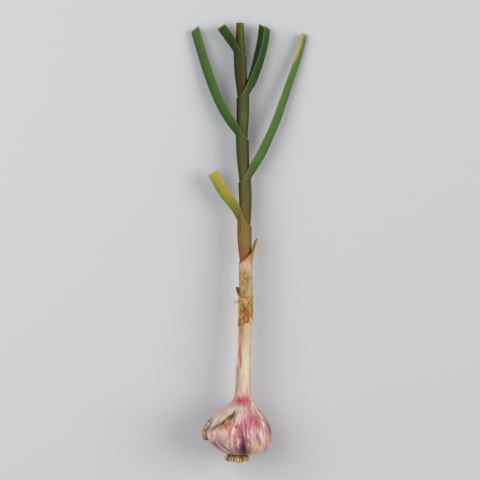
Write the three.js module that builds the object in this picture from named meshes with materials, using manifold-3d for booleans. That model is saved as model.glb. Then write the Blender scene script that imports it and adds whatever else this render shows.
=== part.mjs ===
// A garlic plant as pulled: a bulb with its trimmed roots, a false stem of nested leaf sheaths and
// leaf blades cut short. It lies on a table, carried by the bulb's belly and the tips of two blades.
//
// Millimetres. +Z is up from the table, +Y runs along the stem towards the cut top and +X is to the
// right. The origin is on the table, in the middle of the small flat on which the bulb rests.

import * as THREE from "three";
import { mergeVertices } from "three/addons/utils/BufferGeometryUtils.js";
import Module from "manifold-3d";

const { clamp, degToRad, euclideanModulo, lerp, radToDeg, smoothstep } = THREE.MathUtils;
const wasm = await Module();
wasm.setup();

// Driving dimensions
const BULB_HEIGHT = 28.5; // height of the stem's axis above the table at the bulb
const BULB_DEPTH_SHARE = 0.95; // the bulb's front-to-back radius over its side-to-side radius
const TOP_HEIGHT = 8.8; // height of the stem's axis above the table at the cut top
const TOP_Y = 371.5; // where the innermost shoot is cut off
const SHEATH_WALL = 0.7;
const BLADE_THICKNESS = 0.9;
const SKIN_CLEARANCE = 0.5; // between the bulb and the torn skin over it
const SKIN_THICKNESS = 0.55;
const COLLAR_CLEARANCE = 0.4; // between the neck and the withered collar round it
const COLLAR_THICKNESS = 0.4;

// Sections of a leaf: spaced up its foot, at shares of the way up its mouth, and at distances past
// its mouth, over which the round sheath flattens into the folded blade.
const FOOT_STEP = 8;
const MOUTH_SHARES = [0.05, 0.2, 0.42, 0.7, 1];
const COLLAR_STEPS = [1.5, 3.5, 6, 9, 13];
const COLLAR_FLARE = 0.3; // how much the sheath widens up its mouth

const RIGHT = 1;
const LEFT = -1;

// The bulb's outline from its base over the belly to the neck: [radius, distance along the stem],
// and the radius of the neck beyond: [distance along the stem, radius].
const BULB_OUTLINE = [
  [8, -14.6],
  [14, -16.2],
  [19.2, -15],
  [25.8, -10.2],
  [29.6, -4.6],
  [31, 1],
  [30.1, 6.4],
  [27.3, 11.8],
  [23.3, 17.2],
  [17.1, 22.6],
  [11.4, 28],
  [8.2, 33.4],
  [7.2, 40],
  [6.8, 50],
  [6.6, 66],
];
const NECK = [
  [66, 6.6],
  [90, 6.6],
  [98, 6.2],
  [108, 6.2],
];

// How far the bulb's middle lies to the right of the stem's axis: [distance along the stem, skew].
const BULB_SKEW = [
  [-16.5, 5],
  [-10, 2.7],
  [-4.5, 0.9],
  [1, -0.4],
  [6.5, -0.5],
  [17, 0],
  [34, 0],
];

// The azimuth in degrees of each crease between two cloves, from straight up (+Z) towards +X.
const CREASES = [7, 56, 104, 155, 204, 246, 284, 320];
const CREASE_WIDTH = 9;
const CREASE_DEPTH = 0.17; // share of the bulb's radius

// The stem's sideways wander: [distance along the stem, offset to the right].
const STEM_WANDER = [
  [-26, 0],
  [0, 0],
  [12, 0.4],
  [17, 0.9],
  [22.5, 1.9],
  [28, 3.9],
  [34, 4.5],
  [60, 5.2],
  [85, 6.4],
  [140, 7.1],
  [180, 5.8],
  [212, 6.6],
  [262, 3.9],
  [300, 4.4],
  [330, 2.2],
  [372, 1.7],
];

// The sheath inside the bulb's skins, which ends in a short withered tip, and then the leaves from
// the lowest to the highest. Each has a solid foot, a socket for the next one inside it, an oblique
// mouth and a folded blade. Radius rows are [distance along the stem, radius], keel points are
// [x, y, z] along the blade's back, and blade rows are
// [distance from the mouth, half width, fold in degrees, turn towards +Z in degrees].
const PALE_SHEATH = {
  side: RIGHT,
  bottom: 98,
  socketFloor: 144.6,
  mouthLow: 153,
  mouthRise: 9,
  bladeRows: 2,
  radius: [
    [98, 6],
    [108, 6.15],
    [150, 6.2],
    [156, 6.7],
    [162, 7.6],
    [168, 8.6],
  ],
  keel: [
    [15.2, 166, 19.7],
    [16.6, 171, 19.5],
    [17.9, 175.6, 19.4],
  ],
  blade: [
    [0, 8, 60, 0],
    [12, 6.4, 60, 0],
    [18, 4.6, 60, 0],
    [24, 1.2, 60, 0],
  ],
};

const LEAVES = [
  {
    name: "leaf_1_lower_left",
    color: 0x8d8a3c,
    side: LEFT,
    bottom: 145,
    socketFloor: 177.6,
    mouthLow: 186.3,
    mouthRise: 6,
    bladeRows: 4,
    radius: [
      [145, 5.1],
      [155, 5.15],
      [168, 6.1],
      [178, 6.5],
      [200, 6.8],
    ],
    keel: [
      [-1.6, 193.6, 17.9],
      [-5.4, 200.7, 17.3],
      [-14, 211.5, 16.6],
      [-21.2, 222.3, 16],
      [-26.8, 232.8, 15.6],
    ],
    blade: [
      [0, 9.8, 64, 0],
      [24, 10.6, 67, 0],
      [40, 11.2, 70, 0],
      [54, 12, 73, 0],
    ],
    tip: { slant: 1, notch: -0.5 },
  },
  {
    name: "leaf_2_lower_right",
    color: 0x5c7f47,
    side: RIGHT,
    bottom: 178,
    socketFloor: 217.2,
    mouthLow: 225.9,
    mouthRise: 3.4,
    bladeRows: 12,
    radius: [
      [178, 5.4],
      [190, 5.4],
      [212, 5.7],
      [226, 5.9],
      [240, 6.3],
    ],
    keel: [
      [13, 229.6, 16.2],
      [17.6, 238.5, 15.3],
      [24.2, 250, 14],
      [30.6, 263.5, 12.6],
      [38.4, 282, 10.7],
      [47.3, 308.7, 8.1],
      [54.8, 331.3, 5.9],
      [60.8, 351.9, 4.2],
      [62.6, 360.5, 3.8],
    ],
    blade: [
      [0, 9.2, 62, 0],
      [30, 9.6, 65, 0],
      [80, 8.6, 62, 0],
      [145, 6.4, 55, 0],
    ],
    tip: { slant: 0, notch: 1 },
  },
  {
    name: "leaf_3_upper_left",
    color: 0x5a7a48,
    side: LEFT,
    bottom: 217.6,
    socketFloor: 254.8,
    mouthLow: 263.3,
    mouthRise: 5.5,
    bladeRows: 9,
    radius: [
      [217, 4.85],
      [229, 4.85],
      [246, 5.6],
      [264, 5.9],
      [280, 6.3],
    ],
    keel: [
      [-3, 269.6, 14.1],
      [-7.7, 276.3, 13.3],
      [-14.9, 287.1, 12],
      [-23, 303.3, 10.2],
      [-31, 324.9, 7.7],
      [-37.8, 346.5, 5.5],
      [-42.6, 363.4, 4.3],
    ],
    blade: [
      [0, 9.4, 62, 0],
      [20, 10, 66, 0],
      [70, 10.2, 67, 0],
      [112, 10, 67, 0],
    ],
    tip: { slant: -0.5, notch: 2.5 },
  },
  {
    name: "leaf_4_upper_right",
    color: 0x47702f,
    side: RIGHT,
    bottom: 255.2,
    socketFloor: 293.2,
    mouthLow: 302,
    mouthRise: 3.6,
    bladeRows: 5,
    radius: [
      [255, 4.85],
      [266, 4.85],
      [285, 5.6],
      [302, 5.9],
      [315, 6.3],
    ],
    keel: [
      [11.2, 306.2, 12.4],
      [15.8, 314.9, 11.7],
      [21, 329.1, 10.6],
      [25.3, 343.7, 9.5],
      [27.9, 355.5, 8.7],
      [29.2, 364.8, 8.2],
    ],
    blade: [
      [0, 9.4, 60, 0],
      [16, 10, 60, 10],
      [40, 11.4, 58, 25],
      [64, 11.9, 58, 26],
    ],
    tip: { slant: -1.5, notch: 3 },
  },
  {
    name: "leaf_5_top_left",
    color: 0x33561c,
    side: LEFT,
    bottom: 293.6,
    socketFloor: 331.6,
    mouthLow: 339.6,
    mouthRise: 4.8,
    bladeRows: 2,
    radius: [
      [293, 4.85],
      [305, 4.85],
      [322, 5.5],
      [340, 5.8],
      [352, 6.2],
    ],
    keel: [
      [-4.6, 345.6, 10.2],
      [-9, 352.2, 9.9],
      [-14, 359, 9.6],
      [-18.6, 365.4, 9.3],
    ],
    blade: [
      [0, 9.2, 62, 0],
      [14, 9.6, 66, 0],
      [34, 9.8, 67, 0],
    ],
    tip: { slant: 0.5, notch: 0 },
  },
];

// Smooth curve through [key, value, ...] rows, as a function of the key.
function interpolant(rows) {
  const [keys, values] = [rows.map(([key]) => key), rows.flatMap(([, ...rest]) => rest)];
  const cubic = new THREE.CubicInterpolant(keys, values, rows[0].length - 1);
  return (key) => [...cubic.evaluate(clamp(key, keys[0], keys.at(-1)))];
}

const wander = interpolant(STEM_WANDER);
const skew = interpolant(BULB_SKEW);
const bulbCurve = new THREE.SplineCurve(
  BULB_OUTLINE.map(([radius, y]) => new THREE.Vector2(radius, y)),
);

// The middle of the stem at a distance y along it.
function axisAt(y) {
  return new THREE.Vector3(wander(y)[0], y, lerp(BULB_HEIGHT, TOP_HEIGHT, y / TOP_Y));
}

// Closed body from a stack of sections, each { outer, inner?, open? } with points that run once
// round. A section with inner points is hollow, and an open one is slit between its last point and
// its first.
function stackedBody(sections) {
  const placed = [];
  const index = [];
  const add = (point) => placed.push(point) - 1;
  const triangle = (a, b, c) => {
    if (a !== b && b !== c && c !== a) index.push(a, b, c);
  };
  const quad = (a, b, c, d) => {
    const shorter = placed[a].distanceTo(placed[c]) <= placed[b].distanceTo(placed[d]);
    const [p, q, r, s] = shorter ? [a, b, c, d] : [b, c, d, a];
    triangle(p, q, r);
    triangle(p, r, s);
  };
  const ring = (points, open) => {
    const ids = points.slice(0, open ? undefined : -1).map(add);
    return open ? ids : [...ids, ids[0]];
  };
  const centre = (points) => {
    const sum = points.slice(1).reduce((a, b) => a.add(b), new THREE.Vector3());
    return add(sum.divideScalar(points.length - 1));
  };
  const rows = sections.map(({ outer, inner, open }) => ({
    outer: ring(outer, open),
    inner: inner && ring(inner, open),
    open,
  }));
  const last = sections[0].outer.length - 1;

  const foot = centre(sections[0].outer);
  for (let j = 0; j < last; j++) triangle(foot, rows[0].outer[j], rows[0].outer[j + 1]);
  for (let i = 0; i + 1 < rows.length; i++) {
    const [low, high] = [rows[i], rows[i + 1]];
    const floor = !low.inner && high.inner && centre(sections[i + 1].inner);
    for (let j = 0; j < last; j++) {
      quad(low.outer[j], high.outer[j], high.outer[j + 1], low.outer[j + 1]);
      if (low.inner) quad(low.inner[j], low.inner[j + 1], high.inner[j + 1], high.inner[j]);
      else if (high.inner) triangle(floor, high.inner[j + 1], high.inner[j]);
    }
    if (high.open) {
      quad(low.outer[0], low.inner[0], high.inner[0], high.outer[0]);
      quad(low.outer[last], high.outer[last], high.inner[last], low.inner[last]);
    }
  }
  const top = rows.at(-1);
  const lid = !top.inner && centre(sections.at(-1).outer);
  for (let j = 0; j < last; j++) {
    if (top.inner) quad(top.outer[j], top.inner[j], top.inner[j + 1], top.outer[j + 1]);
    else triangle(lid, top.outer[j + 1], top.outer[j]);
  }
  return indexedGeometry(
    placed.flatMap((point) => point.toArray()),
    index,
  );
}

function indexedGeometry(positions, index) {
  return new THREE.BufferGeometry()
    .setAttribute("position", new THREE.Float32BufferAttribute(positions, 3))
    .setIndex(index);
}

// Points right round the stem at a distance y along it, from the back of one side to itself.
function stemRing(y, radius, { side = RIGHT, columns = 12 } = {}) {
  return Array.from({ length: columns + 1 }, (_, j) => {
    const angle = Math.PI * ((2 * j) / columns - 1);
    const point = axisAt(y);
    point.x += side * radius * Math.cos(angle);
    point.z += side * radius * Math.sin(angle);
    return point;
  });
}

// An arc of a sheath's cross-section as [across, inwards] points from its keel.
function sheathSection(radius, halfAngle, columns = 12) {
  return Array.from({ length: columns + 1 }, (_, j) => {
    const angle = halfAngle * ((2 * j) / columns - 1);
    return new THREE.Vector2(radius * Math.sin(angle), radius * (1 - Math.cos(angle)));
  });
}

// The same for a folded blade.
function bladeSection(halfWidth, foldDegrees, columns = 12) {
  const fold = degToRad(foldDegrees);
  const rounding = 0.16;
  return Array.from({ length: columns + 1 }, (_, j) => {
    const share = (2 * j) / columns - 1;
    const bent = Math.hypot(share, rounding) - rounding;
    return new THREE.Vector2(
      halfWidth * share * Math.cos(fold),
      halfWidth * bent * Math.sin(fold),
    );
  });
}

// A section moved to its inner side by a thickness.
function insetSection(section, thickness) {
  return section.map((point, j) => {
    const along = section[Math.min(j + 1, section.length - 1)]
      .clone()
      .sub(section[Math.max(j - 1, 0)])
      .setLength(thickness);
    return new THREE.Vector2(point.x - along.y, point.y + along.x);
  });
}

// The line of a leaf's back from the lowest point of its mouth: up its side of the sheath, then
// along the blade.
function keelCurve({ side, mouthLow, mouthRise, keel }, radiusAt) {
  const start = [0, mouthRise / 2, mouthRise].map((rise) => {
    const y = mouthLow + rise;
    const point = axisAt(y);
    point.x += side * radiusAt(y)[0];
    return point;
  });
  const blade = keel.map((coordinates) => new THREE.Vector3(...coordinates));
  return new THREE.CatmullRomCurve3([...start, ...blade], false, "centripetal");
}

// One leaf from its foot to the cut end of its blade.
function leafBody(leaf) {
  const { side, bottom, socketFloor, mouthLow, mouthRise, bladeRows, tip } = leaf;
  const radiusAt = interpolant(leaf.radius);
  const bladeAt = interpolant(leaf.blade);
  const keel = keelCurve(leaf, radiusAt);
  const length = keel.getLength();
  const flatSide = new THREE.Vector3(side, 0, 0);

  const footRows = Math.ceil((socketFloor - bottom) / FOOT_STEP);
  const sections = Array.from({ length: footRows + 1 }, (_, i) => {
    const y = lerp(bottom, socketFloor, i / footRows);
    return { outer: stemRing(y, radiusAt(y)[0], { side }) };
  });
  for (const y of [socketFloor + 0.01, mouthLow])
    sections.push({
      outer: stemRing(y, radiusAt(y)[0], { side }),
      inner: stemRing(y, radiusAt(y)[0] - SHEATH_WALL, { side }),
    });

  const distances = [
    ...MOUTH_SHARES.map((share) => share * mouthRise),
    ...COLLAR_STEPS.map((step) => mouthRise + step),
  ];
  const start = distances.at(-1);
  for (let i = 1; i <= bladeRows; i++) distances.push(lerp(start, length, i / bladeRows));

  for (const distance of distances) {
    const origin = keel.getPointAt(distance / length);
    const tangent = keel.getTangentAt(distance / length);
    const outwards = flatSide.clone().addScaledVector(tangent, -tangent.dot(flatSide)).normalize();
    const sideways = new THREE.Vector3().crossVectors(outwards, tangent);
    const [halfWidth, fold, turn] = bladeAt(distance);
    for (const axis of [outwards, sideways]) axis.applyAxisAngle(tangent, side * degToRad(turn));

    const radius = radiusAt(origin.y)[0] + COLLAR_FLARE * smoothstep(distance, 0, mouthRise);
    const opened = Math.acos(Math.min(distance / mouthRise, 1) - 1);
    const halfAngle = Math.min(opened, halfWidth / radius + opened - Math.PI / 2);
    const blend = smoothstep(distance, mouthRise, start);
    const endShare = smoothstep(distance, length - 14, length);
    const blade = bladeSection(halfWidth, fold);
    const sheath = sheathSection(radius, halfAngle);
    const flattened = sheath.map((point, j) => point.lerp(blade[j], blend));
    const wall = insetSection(flattened, lerp(SHEATH_WALL, BLADE_THICKNESS, blend));
    const [outer, inner] = [flattened, wall].map((section) =>
      section.map((point, j) => {
        const across = (2 * j) / (section.length - 1) - 1;
        const cut = tip ? endShare * (tip.slant * across + tip.notch * Math.abs(across)) : 0;
        return origin
          .clone()
          .addScaledVector(sideways, point.x)
          .addScaledVector(outwards, -point.y)
          .addScaledVector(tangent, cut);
      }),
    );
    sections.push({ outer, inner, open: true });
  }
  return stackedBody(sections);
}

// How far the cloves swell between their creases, as a share of the bulb's radius.
function cloveRelief(azimuth, y) {
  const depth = CREASE_DEPTH * (1 - smoothstep(y, -9, 25));
  const dips = CREASES.map((crease) => {
    const away = euclideanModulo(azimuth - crease + 180, 360) - 180;
    return Math.exp(-((away / CREASE_WIDTH) ** 2));
  });
  return 1 - depth * Math.max(...dips);
}

// A point on the bulb at a share of its outline's length, lifted off it by a clearance. The angle
// is counted from +X towards +Z.
function bulbPoint(share, angle, lift = 0) {
  const { x: radius, y: foot } = bulbCurve.getPointAt(share);
  const rise = bulbCurve.getTangentAt(share);
  const azimuth = radToDeg(Math.atan2(Math.cos(angle), Math.sin(angle)));
  const reach = radius * cloveRelief(azimuth, foot) + lift * rise.y;
  const depth = lerp(1, BULB_DEPTH_SHARE, smoothstep(radius, 7, 20));
  const y = foot - lift * rise.x;
  const point = axisAt(y);
  point.x += skew(y)[0] + reach * Math.cos(angle);
  point.z += depth * reach * Math.sin(angle);
  return point;
}

const BULB_COLUMNS = 60;
const BULB_ROWS = 26;

// The bulb, drawn out into a neck, with the pale sheath that rises from it. Its belly is pressed
// flat where it would dip below the table.
function bulbBody() {
  const cloves = Array.from({ length: BULB_ROWS + 1 }, (_, i) => ({
    outer: Array.from({ length: BULB_COLUMNS + 1 }, (_, j) =>
      bulbPoint(i / BULB_ROWS, Math.PI * ((2 * j) / BULB_COLUMNS - 1)),
    ),
  }));
  const neck = NECK.slice(1).map(([y, radius]) => ({
    outer: stemRing(y, radius, { columns: BULB_COLUMNS }),
  }));
  const table = new THREE.BoxGeometry(80, 80, 10).translate(0, 0, -5);
  return joined([stackedBody([...cloves, ...neck]), leafBody(PALE_SHEATH)], table);
}

// The innermost rolled leaf, cut square at the top of the stem.
function shootBody() {
  const radiusAt = interpolant([
    [332, 4.7],
    [342, 4.7],
    [352, 4.4],
    [TOP_Y, 3.6],
  ]);
  return stackedBody(
    [332, 342, 350, 360, TOP_Y].map((y) => ({ outer: stemRing(y, radiusAt(y)[0]) })),
  );
}

// A thin wrapping: a grid of outer points over a grid of inner ones, joined all round its edge, or
// only at its two ends if it wraps right round.
function wrappingBody({ rows, columns, wraps, pointAt }) {
  const across = wraps ? columns : columns + 1;
  const positions = [0, 1].flatMap((layer) =>
    Array.from({ length: rows + 1 }, (_, i) => i / rows).flatMap((share) =>
      Array.from({ length: across }, (_, j) => pointAt(share, j / columns, layer).toArray()),
    ),
  );
  const index = [];
  const id = (layer, i, j) => (layer * (rows + 1) + i) * across + (j % across);
  const quad = (a, b, c, d) => index.push(a, b, c, a, c, d);
  for (let j = 0; j < columns; j++) {
    for (let i = 0; i < rows; i++) {
      quad(id(1, i, j), id(1, i + 1, j), id(1, i + 1, j + 1), id(1, i, j + 1));
      quad(id(0, i, j), id(0, i, j + 1), id(0, i + 1, j + 1), id(0, i + 1, j));
    }
    quad(id(1, 0, j), id(1, 0, j + 1), id(0, 0, j + 1), id(0, 0, j));
    quad(id(1, rows, j), id(0, rows, j), id(0, rows, j + 1), id(1, rows, j + 1));
  }
  for (let i = 0; i < rows && !wraps; i++) {
    const [low, high] = [i, i + 1];
    quad(id(1, low, 0), id(0, low, 0), id(0, high, 0), id(1, high, 0));
    quad(id(1, low, columns), id(1, high, columns), id(0, high, columns), id(0, low, columns));
  }
  return indexedGeometry(positions.flat(), index);
}

// The outermost leaf, worn away to a mottled collar round the neck, with the stub of its blade
// standing out on the left and a curl of dry skin below that.
function collarBody() {
  const pointAt = (share, turn, layer) => {
    const angle = 2 * Math.PI * turn;
    const [x, z] = [Math.cos(angle), Math.sin(angle)];
    const lower = 99.5 + 3.5 * x + 1.2 * Math.sin(5 * z + 1);
    const upper = 125 + 0.7 * Math.sin(4 * z) + 7.2 * smoothstep(-x, 0.85, 1);
    const y = lerp(lower, upper, share);
    const lean = x < 0 ? 1.2 * smoothstep(y, 125.5, 133) : 0;
    const reach = NECK.at(-1)[1] + COLLAR_CLEARANCE + COLLAR_THICKNESS * layer + lean;
    const point = axisAt(y);
    return point.set(point.x + reach * x, y, point.z + reach * z);
  };
  const collar = wrappingBody({ rows: 5, columns: 30, wraps: true, pointAt });

  const thickness = 0.35;
  const radius = 1.7;
  const hook = new THREE.EllipseCurve(0, 0, radius, radius, degToRad(-60), degToRad(225));
  const points = hook.getPoints(12);
  const grown = (share) => points.map((point) => point.clone().multiplyScalar(share));
  const shape = new THREE.Shape([
    ...grown(1 + thickness / radius),
    ...grown(1 - thickness / radius).reverse(),
  ]);
  const curl = new THREE.ExtrudeGeometry(shape, { depth: 2.4, bevelEnabled: false });
  const root = axisAt(118);
  curl.translate(root.x - 8.7, root.y + 1, root.z);
  return joined([collar, curl]);
}

// The bulb's outer skin, torn off below: it clothes the left and front shoulders up to the neck.
function outerSkinBody() {
  const columnAngle = 360 / BULB_COLUMNS;
  const [first, columns] = [60, 27];
  const pointAt = (share, turn, layer) => {
    const angle = first + columnAngle * columns * turn;
    const azimuth = 90 - angle;
    const ragged = 0.014 * Math.sin(azimuth * 0.35) + 0.01 * Math.sin(azimuth * 0.9);
    const lower = 0.42 + 0.08 * smoothstep(azimuth, -40, 30) + ragged;
    const upper = 0.6 + 0.25 * smoothstep(-azimuth, 20, 90);
    const lift = SKIN_CLEARANCE + SKIN_THICKNESS * layer;
    return bulbPoint(lerp(lower, upper, share), degToRad(angle), lift);
  };
  return wrappingBody({ rows: 11, columns, wraps: false, pointAt });
}

// The root plate under the bulb with its brush of trimmed roots, fanned out from the middle.
function rootTuftBody() {
  const [plateY, count, goldenAngle] = [-16.8, 26, Math.PI * (3 - Math.sqrt(5))];
  const centre = axisAt(plateY);
  centre.x -= 1;
  const plate = new THREE.CylinderGeometry(8.4, 9.6, 3, 20);
  plate.translate(centre.x, plateY - 1.2, centre.z);
  const roots = Array.from({ length: count }, (_, k) => {
    const share = Math.sqrt((k + 0.5) / count);
    const turn = k * goldenAngle;
    const length = 8.4 - 3 * share ** 2;
    const root = new THREE.CylinderGeometry(1.25, 0.95, length, 6);
    root.translate(0, -length / 2, 0);
    root.rotateZ(0.62 * share);
    root.rotateY(turn);
    const [x, z] = [Math.cos(turn), -Math.sin(turn)].map((v) => 8.2 * share * v);
    root.translate(centre.x + x, plateY - 0.4 + 0.35 * Math.sin(3 * k), centre.z + z);
    return root;
  });
  return joined([plate, ...roots]);
}

// A closed geometry as a solid that can be joined and cut.
function solidOf(geometry) {
  const bare = geometry.clone();
  for (const attribute of ["normal", "uv"]) bare.deleteAttribute(attribute);
  const { attributes, index } = mergeVertices(bare, 1e-4);
  const mesh = {
    numProp: 3,
    vertProperties: new Float32Array(attributes.position.array),
    triVerts: new Uint32Array(index.array),
  };
  return new wasm.Manifold(new wasm.Mesh(mesh));
}

// Joins overlapping closed geometries into one, less what is inside another one.
function joined(geometries, cutter) {
  const whole = wasm.Manifold.union(geometries.map(solidOf));
  const kept = cutter ? whole.subtract(solidOf(cutter)) : whole;
  const { vertProperties, triVerts } = kept.getMesh();
  return indexedGeometry([...vertProperties], [...triVerts]);
}

// A named mesh whose own origin is on the stem's axis, at a distance anchorY along it.
function piece(name, geometry, color, anchorY) {
  const anchor = axisAt(anchorY);
  geometry.translate(-anchor.x, -anchor.y, -anchor.z);
  const material = new THREE.MeshStandardMaterial({ color, roughness: 0.6, metalness: 0 });
  const mesh = new THREE.Mesh(geometry, material);
  mesh.name = name;
  mesh.position.copy(anchor);
  return mesh;
}

const head = new THREE.Group();
head.add(
  piece("bulb", bulbBody(), 0xcfae9c, 0),
  piece("root_tuft", rootTuftBody(), 0xb59a66, -17),
  piece("torn_outer_skin", outerSkinBody(), 0xc9bda6, 22),
  piece("withered_collar", collarBody(), 0xa8793a, 112),
);

const foliage = new THREE.Group();
foliage.add(
  ...LEAVES.map((leaf) => piece(leaf.name, leafBody(leaf), leaf.color, leaf.bottom)),
  piece("inner_shoot", shootBody(), 0x7d8030, 332),
);

const garlic = new THREE.Group();
garlic.add(head, foliage);

export default garlic;
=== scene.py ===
"""A garlic plant as pulled and trimmed, lying on a pale table.

+Z is up from the table, +Y runs along the stem from the bulb to the cut top and +X is to the right.
Sizes are in millimetres, and become metres where a point is placed.
"""

import logging
import math
import random
from abc import ABC, abstractmethod
from bisect import bisect_right
from collections.abc import Callable, Sequence
from dataclasses import dataclass, field, replace
from enum import Enum
from functools import cached_property
from typing import NamedTuple

import bpy
from mathutils import Matrix, Quaternion, Vector, noise


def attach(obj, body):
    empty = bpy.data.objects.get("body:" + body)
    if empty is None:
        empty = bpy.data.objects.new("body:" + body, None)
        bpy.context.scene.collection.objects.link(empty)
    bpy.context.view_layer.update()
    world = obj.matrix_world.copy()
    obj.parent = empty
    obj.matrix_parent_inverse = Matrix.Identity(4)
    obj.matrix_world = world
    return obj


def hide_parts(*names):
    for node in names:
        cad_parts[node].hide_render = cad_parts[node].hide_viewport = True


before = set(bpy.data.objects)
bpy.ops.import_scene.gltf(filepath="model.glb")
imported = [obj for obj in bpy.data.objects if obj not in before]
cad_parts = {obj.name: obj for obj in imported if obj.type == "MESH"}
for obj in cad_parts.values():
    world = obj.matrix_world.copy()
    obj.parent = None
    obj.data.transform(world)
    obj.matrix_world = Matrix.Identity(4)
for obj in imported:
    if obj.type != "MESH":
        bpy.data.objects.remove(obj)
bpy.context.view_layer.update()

MM = 0.001
TABLE_GAP = 0.06  # how far the lowest skin stays above the table

log = logging.getLogger("garlic_plant")

Rows = Sequence[Sequence[float]]
Tone = tuple[float, float, float]


class Side(Enum):
    """The side of the stem on which a blade stands out."""

    LEFT = -1
    RIGHT = 1


class Slot(Enum):
    """The material slots of the part's record."""

    BULB_SKIN = "bulb_skin"
    ROOTS = "roots"
    DRY_SKIN = "dry_skin"
    WITHERED_SHEATH = "withered_sheath"
    YELLOWING_LEAF = "yellowing_leaf"
    MID_LEAF = "mid_leaf"
    DARK_LEAF = "dark_leaf"
    SHOOT = "shoot"


# Numbers and curves


def mix(first: float, second: float, share: float) -> float:
    """The number at a share of the way from the first to the second."""
    return first + (second - first) * share


def ramp(value: float, low: float, high: float) -> float:
    """A smooth rise from 0 at the low value to 1 at the high one."""
    share = min(max((value - low) / (high - low), 0.0), 1.0)
    return share * share * (3 - 2 * share)


def turned(value: float) -> float:
    """An angle in degrees brought to between -180 and 180."""
    return (value + 180) % 360 - 180


def tone(code: int) -> Tone:
    """The linear colour of a web colour such as 0xC8A080.

    Args:
        code: The web colour.

    Returns:
        Its linear red, green and blue.
    """
    parts = ((code >> shift & 255) / 255 for shift in (16, 8, 0))
    red, green, blue = (
        part / 12.92 if part <= 0.04045 else ((part + 0.055) / 1.055) ** 2.4 for part in parts
    )
    return red, green, blue


def mix_tone(first: Tone, second: Tone, share: float) -> Tone:
    """The colour at a share of the way from the first to the second."""
    red, green, blue = (mix(a, b, share) for a, b in zip(first, second))
    return red, green, blue


def shade(colour: Tone, factor: float) -> Tone:
    """A colour made lighter or darker by a factor."""
    return colour[0] * factor, colour[1] * factor, colour[2] * factor


def deepen(colour: Tone, depth: float) -> Tone:
    """A colour made darker and richer by a power above 1."""
    return colour[0] ** depth, colour[1] ** depth, colour[2] ** depth


def ripple(x: float, y: float, z: float = 0.0) -> float:
    """Smooth noise between about -1 and 1."""
    return noise.noise(Vector((x, y, z)))


class Table:
    """A smooth curve through rows of a key and its values."""

    def __init__(self, rows: Rows) -> None:
        """Keeps the rows and works out the slope at each.

        Args:
            rows: Rows of [key, value, ...] in rising order of the key.
        """
        self.keys = [row[0] for row in rows]
        self.values = [list(row[1:]) for row in rows]
        last = len(rows) - 1
        self.slopes = []
        for i in range(last + 1):
            below, above = max(i - 1, 0), min(i + 1, last)
            span = self.keys[above] - self.keys[below]
            pairs = zip(self.values[below], self.values[above])
            self.slopes.append([(high - low) / span for low, high in pairs])

    def __call__(self, key: float) -> list[float]:
        """The values at a key, which is held to the table's ends.

        Args:
            key: Where to read the table.

        Returns:
            One number for each value of a row.
        """
        key = min(max(key, self.keys[0]), self.keys[-1])
        i = min(max(bisect_right(self.keys, key) - 1, 0), len(self.keys) - 2)
        span = self.keys[i + 1] - self.keys[i]
        s = (key - self.keys[i]) / span
        low, high = (1 + 2 * s) * (1 - s) ** 2, s * s * (3 - 2 * s)
        leave, reach = s * (1 - s) ** 2 * span, s * s * (s - 1) * span
        return [
            low * a + high * b + leave * m + reach * n
            for a, b, m, n in zip(
                self.values[i], self.values[i + 1], self.slopes[i], self.slopes[i + 1]
            )
        ]


class TonedTable:
    """Colours between rows of a key and several colours, mixed evenly."""

    def __init__(self, rows: Sequence[Sequence[float]], depth: float = 1.0) -> None:
        """Turns the web colours of the rows into linear ones.

        Args:
            rows: Rows of [key, colour, ...] in rising order of the key.
            depth: The power the colours are raised to: above 1 they are darker and richer.
        """
        self.keys = [row[0] for row in rows]
        self.tones = [[deepen(tone(int(code)), depth) for code in row[1:]] for row in rows]

    def __call__(self, key: float, across: float) -> Tone:
        """The colour at a key and a place across the row.

        Args:
            key: Where to read the table.
            across: -1 at the row's first colour and 1 at its last.

        Returns:
            The linear colour.
        """
        key = min(max(key, self.keys[0]), self.keys[-1])
        i = min(max(bisect_right(self.keys, key) - 1, 0), len(self.keys) - 2)
        share = ramp(key, self.keys[i], self.keys[i + 1])
        place = (min(max(across, -1.0), 1.0) + 1) / 2 * (len(self.tones[i]) - 1)
        k = min(int(place), len(self.tones[i]) - 2)
        low, high = (mix_tone(row[k], row[k + 1], place - k) for row in self.tones[i : i + 2])
        return mix_tone(low, high, share)


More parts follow.
